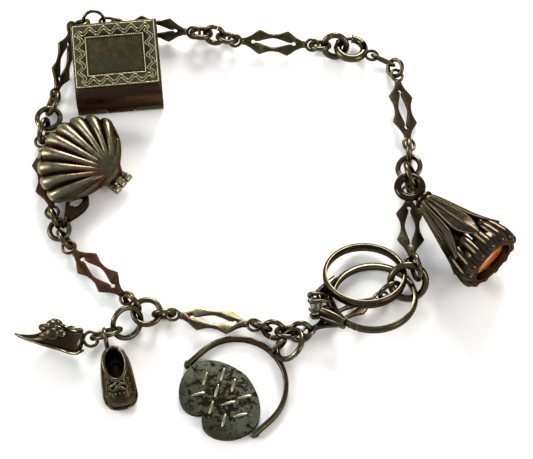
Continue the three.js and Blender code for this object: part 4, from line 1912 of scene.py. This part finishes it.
@dataclass
class Bootee:
    """The baby bootee: a deep opening with a rolled rim, laces, a welted sole and a ring at its back.

    Sections run from heel to toe as (x, low, high, width). Laces are (x, z, half length) and
    eyelets (x, y, z). The opening is an oval by its middle, half sizes and height.
    """

    place: Place = Place(-23.1, -22.1, 0.3, -79)
    sections: tuple[Section, ...] = (
        (-0.9, 0.4, 4.9, 2.6), (-0.4, 0.1, 5.3, 3.6), (0.8, 0.0, 5.35, 4.3), (2.2, 0.0, 5.3, 4.6),
        (3.5, 0.0, 5.1, 4.8), (4.6, 0.0, 4.6, 4.9), (5.5, 0.0, 3.8, 5.0), (6.4, 0.0, 3.2, 4.8),
        (7.3, 0.1, 2.6, 3.9), (8.0, 0.5, 1.8, 2.1),
    )
    opening: Section = (2.2, 2.35, 1.45, 5.2)
    rim_knots: int = 24
    lacing: tuple[Point, ...] = ((4.95, 4.5, 0.95), (5.5, 4.05, 0.85))
    eyelet_rows: tuple[Point, ...] = ((4.7, 1.5, 4.1), (5.35, 1.62, 3.5), (6.0, 1.6, 3.0))
    dots: int = 9
    dot: float = 0.13
    ring: Flat = (3.5, 0.65)
    ring_at: Point = (-2.35, -0.7, 4.0)

    def shoe(self) -> Piece:
        """The bootee's skin with its deep opening.

        Returns:
            The shoe.
        """
        skin = subdivide(loft("bootee_skin", [shoe_section(*s) for s in self.sections]))
        x, long, wide, _ = self.opening
        hollow = moved(cylinder(1.0, 4.2, 36, 1.12), shift(x, 0, 4.3) @ scale(long, wide, 1))
        toe = moved(ball(1.0, 24, 14), shift(x + 1.2, 0, 2.4) @ scale(2.4, 1.5, 1.0))
        return boolean(boolean(skin, hollow), toe)

    def rim(self) -> Piece:
        """The rolled rim round the opening.

        Returns:
            The rim.
        """
        x, long, wide, z = self.opening
        path = []
        for i in range(self.rim_knots):
            a = TAU * i / self.rim_knots
            px = x + (long + 0.22) * math.cos(a)
            path.append((px, (wide + 0.2) * math.sin(a), z - 0.10 * max(px - 2.4, 0) ** 1.5))
        return wire(path, 0.27, closed=True, round_by=3)

    def laces(self) -> Piece:
        """Crossed laces and a bow in front of the opening.

        Returns:
            The laces.
        """
        made = []
        for x, z, half in self.lacing:
            for side in SIDES:
                path = [(x - 0.3, -side * half, z + 0.05), (x, 0, z + 0.25), (x + 0.45, side * half, z - 0.3)]
                made.append(wire(path, 0.14, round_by=2))
        for side in SIDES:
            loop = [(5.5, 0, 4.15), (5.25, side * 0.7, 4.4), (5.7, side * 1.25, 4.0), (6.0, side * 0.7, 3.8)]
            made.append(wire(loop, 0.15, closed=True, round_by=2))
        knot = moved(ball(0.32, 14, 8), shift(5.6, 0, 4.05))
        return union("laces", *made, knot)

    def eyelets(self) -> Piece:
        """Small eyelet rings either side of the laces and dots along the toe cap.

        Returns:
            The eyelets and dots as one piece.
        """
        made = []
        for side in SIDES:
            tilt = turn("X", -side * 42) @ turn("Y", 18)
            for x, y, z in self.eyelet_rows:
                made.append(moved(torus(0.62, 0.2, 16, 6), shift(x, side * y, z) @ tilt))
        places = []
        for i in range(self.dots):
            a = math.radians(-64 + 16 * i)
            places.append(shift(6.05 + 0.35 * math.cos(a), 2.15 * math.sin(a), 1.4 + 1.95 * math.cos(a)))
        return union("eyelets", *made, *repeat(ball(self.dot, 8, 6), places))

    def build(self, shop: Workshop) -> None:
        """Builds the bootee.

        Args:
            shop: The workshop that seats the pieces.
        """
        ring = moved(torus(*self.ring, 36, 12), shift(*self.ring_at) @ turn("X", 90))
        sole = welt(self.sections, 0.02, 0.42)
        piece = union("bootee_shoe", self.shoe(), self.rim(), self.laces(), self.eyelets(), sole, ring)
        shop.put(smooth(piece, 45), shop.at(self.place), Finish.DARK, "bootee")


@dataclass
class Spinner:
    """The heart that spins inside a flat hoop. Its ticks lie in rows of (y, places along x)."""

    place: Place = Place(-6.75, -28.2, 0.65, -47)
    half: float = 7.9
    rise: float = 3.0
    leg: float = -0.7
    leg_top: float = 1.0
    band: float = 0.72
    height: float = 1.28
    sheet: float = 0.96
    reach: float = 6.8
    cleft: float = -3.9
    pin: float = 0.3
    eye: Flat = (3.1, 0.55)
    eye_at: Point = (0, 11.9, 0.95)
    tick: Point = (1.15, 0.26, 0.2)
    tilts: Flat = (62, -58)
    ticks: tuple[tuple[float, tuple[float, ...]], ...] = (
        (2.6, (-2.6, -0.2, 2.3)), (0.2, (-3.9, -1.3, 1.4, 4.0)), (-2.2, (-2.8, 0.1, 2.9)),
    )

    def curve(self, *knots: Flat, steps: int = 12) -> Outline:
        """Points along a cubic curve with four knots, without its last point.

        Args:
            knots: The four knots.
            steps: How many points.

        Returns:
            The points.
        """
        a, b, c, d = (Vector((*k, 0)) for k in knots)
        made = []
        for i in range(steps):
            t = i / steps
            p = a * (1 - t) ** 3 + 3 * b * t * (1 - t) ** 2 + 3 * c * t**2 * (1 - t) + d * t**3
            made.append((p.x, p.y))
        return made

    def heart_outline(self) -> Outline:
        """The heart's outline, its point towards +Y.

        Returns:
            The outline.
        """
        r, cleft = self.reach, (0.0, self.cleft)
        side = self.curve((0, 5.1), (3.2, 4.8), (6.4, 3.2), (r, 0.4))
        lobe = self.curve((r, 0.4), (r + 0.6, -3.6), (2.2, -7.6), cleft)
        right = [*side, *lobe]
        return [*right, cleft, *[(-x, y) for x, y in reversed(right[1:])]]

    def heart(self) -> Piece:
        """The heart plate with the holes for its pivots.

        Returns:
            The heart.
        """
        disc = plate(self.heart_outline(), self.sheet)
        for side in SIDES:
            boolean(disc, moved(cylinder(0.5, 2.0, 20), shift(side * self.reach) @ turn("Y", 90)))
        return smooth(named(bevel(disc, 0.14, 3, 40), "heart_plate"), 40)

    def bow(self, radius: float, start: float) -> Outline:
        """A leg, half a circle and the other leg, from one angle in degrees to the opposite.

        Args:
            radius: The half circle's radius.
            start: The angle it starts from, 0 or 180.

        Returns:
            The points.
        """
        x = radius if start == 0 else -radius
        middle = arc(radius, start, 180 - start, 40, (0, self.rise))
        return [(x, self.leg), (x, self.leg_top), *middle, (-x, self.leg_top), (-x, self.leg)]

    def hoop(self) -> Piece:
        """The hoop: a flat band with rounded edges, legs, pins and an eye.

        Returns:
            The hoop.
        """
        outline = [*self.bow(self.half, 0), *self.bow(self.half - self.band, 180)]
        band = bevel(plate(outline, self.height), 0.22, 3, 40)
        eye = moved(torus(*self.eye, 36, 10), shift(*self.eye_at) @ turn("Y", 90))
        seat = moved(bevel(block(0.8, 0.7, 1.1), 0.15), shift(0, 10.45, 0.1))
        pins = []
        for side in SIDES:
            pins.append(moved(cylinder(self.pin, 1.9, 18), shift(side * (self.half - 0.75)) @ turn("Y", 90)))
            collar_at = side * (self.half - self.band + 0.02)
            pins.append(moved(ball(0.42, 16, 8), shift(collar_at) @ scale(0.4, 1, 1)))
        return smooth(union("spinner_band", band, eye, seat, *pins), 40)

    def strokes(self) -> Piece:
        """Plain raised ticks on the heart, in rows, that stand for nothing.

        Returns:
            The ticks as one piece.
        """
        places = []
        for y, row in self.ticks:
            for x in row:
                tilt = self.tilts[0 if (x > 0) == (y > 0) else 1]
                places.append(shift(x, y, self.sheet / 2) @ turn("Z", tilt))
        tick = moved(ball(1.0, 14, 8), scale(*self.tick))
        return smooth(union("heart_ticks", *repeat(tick, places)), 60)

    def build(self, shop: Workshop) -> None:
        """Builds the hoop, the heart and its ticks.

        Args:
            shop: The workshop that seats the pieces.
        """
        at = shop.at(self.place)
        shop.put(self.hoop(), at, Finish.DARK, "spinner_hoop")
        shop.put(self.heart(), at, Finish.HEART, "spinner_heart", "heart")
        shop.put(self.strokes(), at, Finish.TICK, "", "heart")


@dataclass
class FingerRings:
    """The plain band and the claw-set solitaire on the thick ring.

    The solitaire lies about +Z with its head towards -X. Claw and shoulder paths are drawn there.
    """

    band_place: Place = Place(15.1, -9.2, 3.3, 0, 0, -21)
    solitaire_place: Place = Place(16.4, -12.6, 2.6, 8, 0, -18)
    band_outer: float = 13.0
    band_wall: float = 0.65
    band_height: float = 1.5
    outer: float = 13.6
    wall: float = 0.8
    height: float = 1.2
    crown: float = 9.35
    girdle: float = 1.5
    claws: int = 8
    claw_path: tuple[Point, ...] = (
        (-6.6, 1.2, 0), (-7.7, 1.7, 0), (-9.0, 1.95, 0), (-9.7, 1.85, 0), (-9.85, 1.4, 0),
    )
    claw_radii: tuple[float, ...] = (0.26, 0.30, 0.32, 0.30, 0.2)
    collars: tuple[Flat, Flat] = ((1.4, 6.95), (1.75, 8.3))
    collar_wire: float = 0.52
    shoulder_path: tuple[Point, ...] = (
        (-5.2, 4.35, 0.8), (-6.3, 3.35, 1.2), (-7.35, 2.5, 1.5), (-8.35, 1.75, 1.6),
    )
    shoulder_radii: tuple[float, ...] = (0.62, 0.66, 0.62, 0.50)
    grains: int = 9
    grain: float = 0.17
    grains_from: float = 118.0
    grain_step: float = 4.0
    grain_rise: float = 0.28

    def hoop(self, outer: float, wall: float, height: float) -> Piece:
        """A half-round band about +Z: domed outside, flat inside.

        Args:
            outer: The outer diameter.
            wall: Its thickness.
            height: Its height along +Z.

        Returns:
            The hoop.
        """
        out, inn, h = outer / 2, outer / 2 - wall, height / 2
        dome = []
        for a in map(math.radians, range(-80, 81, 20)):
            dome.append((out - 0.45 * wall * (1 - math.cos(a)), h * math.sin(a)))
        low = [(inn, -h * 0.86), (inn + 0.08, -h)]
        profile = [*low, *dome, (inn + 0.08, h), (inn, h * 0.86), low[0]]
        return moved(lathe(profile, 96), turn("Y", -90))

    def band(self) -> Piece:
        """The plain band."""
        hoop = self.hoop(self.band_outer, self.band_wall, self.band_height)
        return smooth(named(hoop, "band_hoop"), 50)

    def shoulder(self, side: int) -> Piece:
        """One openwork shoulder: two bars that rise from the shank to the head.

        Args:
            side: Which side, -1 or 1.

        Returns:
            The shoulder.
        """
        bars = []
        for level in (-0.5, 0.5):
            path = [(x, side * y, level * z) for x, y, z in self.shoulder_path]
            bars.append(wire(path, self.shoulder_radii))
        strut = wire([(-7.2, side * 1.2, 0.0), (-7.0, side * 2.0, 0.0), (-6.7, side * 2.75, 0.0)], 0.24)
        return union("shoulder", *bars, strut)

    def granules(self) -> Piece:
        """Rows of small grains along the outside of the shank's shoulders.

        Returns:
            The grains as one piece.
        """
        places = []
        for side in SIDES:
            for i in range(self.grains):
                at = shift(self.outer / 2 - 0.1, 0, self.grain_rise if i % 2 else -self.grain_rise)
                places.append(turn("Z", side * (self.grains_from + self.grain_step * i)) @ at)
        return union("grains", *repeat(ball(self.grain, 8, 6), places))

    def head(self) -> Piece:
        """The claw head: two open collars and claws that lean out and over the stone.

        Returns:
            The head.
        """
        bar = self.collar_wire
        collars = [
            moved(torus(2 * radius + bar, bar, 32, 8), shift(-x) @ turn("Y", 90))
            for radius, x in self.collars
        ]
        claw = wire(self.claw_path, self.claw_radii)
        return union("head", *collars, *repeat(claw, turns("X", self.claws, 22.5)))

    def solitaire(self) -> Piece:
        """The ring with its shank, shoulders, grains and head.

        Returns:
            The ring.
        """
        shank = self.hoop(self.outer, self.wall, self.height)
        shoulders = [self.shoulder(side) for side in SIDES]
        return smooth(union("solitaire_hoop", shank, *shoulders, self.granules(), self.head()), 45)

    def stone(self) -> Piece:
        """The round brilliant: table, bezel facets and a pointed pavilion.

        Returns:
            The stone.
        """
        girdle, crown = self.girdle, self.crown
        pavilion = [(0, -crown + 1.3), (0.75 * girdle, -crown + 0.55), (girdle, -crown + 0.05)]
        table = [(girdle, -crown - 0.08), (0.62 * girdle, -crown - 0.55), (0, -crown - 0.55)]
        return named(lathe([*pavilion, *table], 16), "solitaire_brilliant")

    def build(self, shop: Workshop) -> None:
        """Builds both rings and the stone.

        Args:
            shop: The workshop that seats the pieces.
        """
        at = shop.at(self.solitaire_place)
        shop.put(self.band(), shop.at(self.band_place), Finish.RING, "band_ring")
        shop.put(self.solitaire(), at, Finish.RING, "solitaire_ring")
        shop.put(self.stone(), at, Finish.CLEAR, "solitaire_stone")


@dataclass
class Fob:
    """The fob seal: bail, collar, leaf straps, gadrooned base and orange seal stone.

    It lies along +X from its bail. Collar points are (radius, x), and a strap's stations are
    (x, radius, half width).
    """

    place: Place = Place(22.3, 5.3, 4.5, -48, 5, 0)
    bail: float = 5.0
    wire: float = 1.2
    foot: float = 14.8
    end: float = 18.4
    stone: float = 3.35
    straps: int = 6
    flutes: int = 13
    recess: float = 1.3
    collar_profile: tuple[Flat, ...] = (
        (0, 2.3), (0.9, 2.35), (1.15, 2.6), (1.1, 2.8), (1.55, 3.0), (1.62, 3.3), (1.5, 3.6),
        (1.58, 3.8), (1.58, 4.0), (1.3, 4.3), (1.45, 4.9), (1.2, 5.4), (0, 5.5),
    )
    stations: tuple[Point, ...] = (
        (4.0, 1.4, 0.55), (5.6, 1.9, 0.72), (7.4, 2.4, 1.0), (9.4, 2.95, 1.3), (11.2, 3.5, 1.42),
        (12.8, 4.1, 1.1), (14.0, 4.7, 0.6), (14.9, 5.2, 0.12),
    )
    keel: tuple[float, ...] = (0.18, 0.2, 0.22, 0.24, 0.24, 0.22, 0.18, 0.12)
    vein: tuple[float, ...] = (0.06, 0.07, 0.08, 0.09, 0.09, 0.08, 0.07, 0.05)
    edge: tuple[float, ...] = (0.2, 0.22, 0.24, 0.25, 0.25, 0.23, 0.2, 0.14)

    def bail_ring(self) -> Piece:
        """The thick bail with its bright inner rims.

        Returns:
            The bail.
        """
        ring = moved(torus(self.bail - 0.02, self.wire - 0.05, 44, 14), shift(0.1))
        rim = moved(torus(self.bail - 2 * self.wire + 0.56, 0.26, 36, 8), shift(0.1, 0, 0.36))
        lower = moved(duplicate(rim, "rim"), turn("X", 180))
        return union("bail", ring, rim, lower)

    def strap(self) -> Piece:
        """One pointed leaf from the collar to the base, keeled, veined and rolled at its edges.

        Returns:
            The strap.
        """
        keel = wire([(x, 0.0, r + 0.16) for x, r, _ in self.stations], self.keel)
        veins, edges = [], []
        for side in SIDES:
            vein = [(x, side * w * 0.52, r + 0.06) for x, r, w in self.stations]
            edge = [(x, side * w, r - 0.1) for x, r, w in self.stations]
            veins.append(wire(vein, self.vein, round_by=2))
            edges.append(wire(edge, self.edge))
        return union("strap", keel, *veins, *edges, self.leaf_web())

    def leaf_web(self) -> Piece:
        """The thin sheet between a strap's edges, bent to the strap's slope.

        Returns:
            The sheet.
        """
        across = [(x, w) for x, _, w in self.stations]
        sheet = plate([*across, *[(x, -w) for x, w in reversed(across)]], 0.24)
        return reshape(subdivide(sheet, 1, simple=True), self.onto_slope)

    def onto_slope(self, p: Vector) -> Vector:
        """Lifts a point by the strap's height at its place along the fob.

        Args:
            p: The point.

        Returns:
            The point's new place.
        """
        last = self.stations[-1][0]
        for (x0, r0, _), (x1, r1, _) in zip(self.stations, self.stations[1:]):
            if p.x <= x1 or x1 == last:
                return Vector((p.x, p.y, p.z + r0 + (r1 - r0) * (p.x - x0) / (x1 - x0)))
        return p

    def gadroons(self) -> Piece:
        """The base: fat lobes side by side about a turned core, with a rim round the stone.

        Returns:
            The base.
        """
        foot, end = self.foot, self.end
        inside = [(4.5, end - 0.1), (3.5, end - 0.1), (3.5, foot - 0.3)]
        core = lathe([(3.6, foot - 0.3), (4.3, foot), (4.9, foot + 1.0), (4.95, end - 1.0), *inside])
        rise = [(foot - 1.9, 0, 3.2), (foot - 0.8, 0, 3.95), (foot + 1.0, 0, 4.35)]
        lobe = wire([*rise, (end - 0.8, 0, 4.5), (end - 0.35, 0, 4.22)], (0.50, 0.88, 0.96, 0.94, 0.66))
        lobes = repeat(lobe, turns("X", self.flutes))
        rim = moved(torus(2 * 4.35, 0.5, 64, 10), shift(end - 0.25) @ turn("Y", 90))
        return union("gadroons", core, *lobes, rim)

    def body(self) -> Piece:
        """The whole metal fob.

        Returns:
            The metal.
        """
        leaves = repeat(self.strap(), turns("X", self.straps))
        collar = lathe(self.collar_profile, 40)
        return smooth(union("fob_metal", self.bail_ring(), collar, *leaves, self.gadroons()), 40)

    def seal(self) -> Piece:
        """The orange stone that fills the base, bevelled at its edge.

        Returns:
            The stone.
        """
        back, face, radius = self.foot + 1.4, self.end - self.recess, self.stone
        wall = [(0, back), (radius + 0.1, back), (radius + 0.1, face)]
        profile = [*wall, (radius - 0.3, face + 0.2), (0, face + 0.32)]
        return smooth(named(lathe(profile), "fob_seal"), 30)

    def build(self, shop: Workshop) -> None:
        """Builds the fob and its stone.

        Args:
            shop: The workshop that seats the pieces.
        """
        at = shop.at(self.place)
        shop.put(self.body(), at, Finish.FOB, "fob_body")
        shop.put(self.seal(), at, Finish.ORANGE, "fob_stone")


# ---------------------------------------------------------------------------------------------
# The stage
# ---------------------------------------------------------------------------------------------


@dataclass
class Studio:
    """The pale surface, the soft lights and the camera, in metres and degrees.

    The camera looks at a point of the table, given in millimetres.
    """

    lean: float = 66.0
    distance: float = 0.300
    half_width: float = 0.04184
    look_at: Flat = (0.0892, -1.5846)
    sky: Colour = (0.96, 0.98, 1.0)
    sky_strength: float = 0.55

    def floor(self, palette: Palette) -> Piece:
        """A plain pale surface under the bracelet.

        Args:
            palette: The finishes.

        Returns:
            The surface.
        """
        deselect()
        bpy.ops.mesh.primitive_plane_add(size=3)
        plane = named(bpy.context.object, "pale_surface")
        palette.dress(plane, Finish.TABLE)
        return plane

    def light(self, name: str, place: Point, size: float, watts: float, colour: Colour) -> Piece:
        """A square soft light aimed at the middle.

        Args:
            name: Its name.
            place: Where it stands.
            size: Its side's length.
            watts: Its power.
            colour: Its colour.

        Returns:
            The light.
        """
        bpy.ops.object.light_add(type="AREA", location=place)
        lamp = bpy.context.object
        lamp.name = name
        lamp.data.shape = "SQUARE"
        lamp.data.size = size
        lamp.data.energy = watts
        lamp.data.color = colour
        lamp.rotation_euler = (-Vector(place)).to_track_quat("-Z", "Y").to_euler()
        return lamp

    def camera(self) -> Piece:
        """The camera, leaning from the south over its target on the table.

        Returns:
            The camera.
        """
        lean = math.radians(self.lean)
        target = Vector((self.look_at[0] * MM, self.look_at[1] * MM, 0))
        away = Vector((0, -math.cos(lean), math.sin(lean))) * self.distance
        bpy.ops.object.camera_add(location=target + away)
        camera = bpy.context.object
        camera.rotation_euler = (math.radians(90 - self.lean), 0, 0)
        camera.data.sensor_fit = "HORIZONTAL"
        camera.data.angle = 2 * math.atan(self.half_width / self.distance)
        camera.data.clip_start = 0.01
        bpy.context.scene.camera = camera
        return camera

    def build(self, palette: Palette) -> None:
        """Sets the stage.

        Args:
            palette: The finishes.
        """
        lights = [
            self.light("key", (0.06, 0.62, 0.30), size=0.30, watts=8.0, colour=(1.0, 0.99, 0.93)),
            self.light("side", (-0.55, 0.02, 0.34), size=0.30, watts=3.2, colour=(0.98, 1.0, 0.96)),
            self.light("fill", (0.48, -0.24, 0.36), size=0.24, watts=1.8, colour=(1.0, 0.86, 0.76)),
        ]
        self.floor(palette)
        self.camera()
        world = bpy.data.worlds.new("studio")
        world.use_nodes = True
        background = world.node_tree.nodes["Background"]
        background.inputs["Color"].default_value = (*self.sky, 1.0)
        background.inputs["Strength"].default_value = self.sky_strength
        bpy.context.scene.world = world
        bpy.context.scene.view_settings.view_transform = "Standard"


def main() -> None:
    """Builds the bracelet's looks around its frame."""
    logging.basicConfig(level=logging.INFO, format="%(message)s")
    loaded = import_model()
    shop = Workshop(Frame(loaded), Palette())
    makers: tuple[Maker, ...] = (
        Chain(), Clasp(), Book(), Shell(), Clip(), Slipper(), Bootee(), Spinner(), FingerRings(), Fob(),
    )
    for maker in makers:
        maker.build(shop)
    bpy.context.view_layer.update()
    Studio().build(shop.palette)
    LOG.info("%d pieces built", shop.count)


if __name__ == "__main__":
    main()
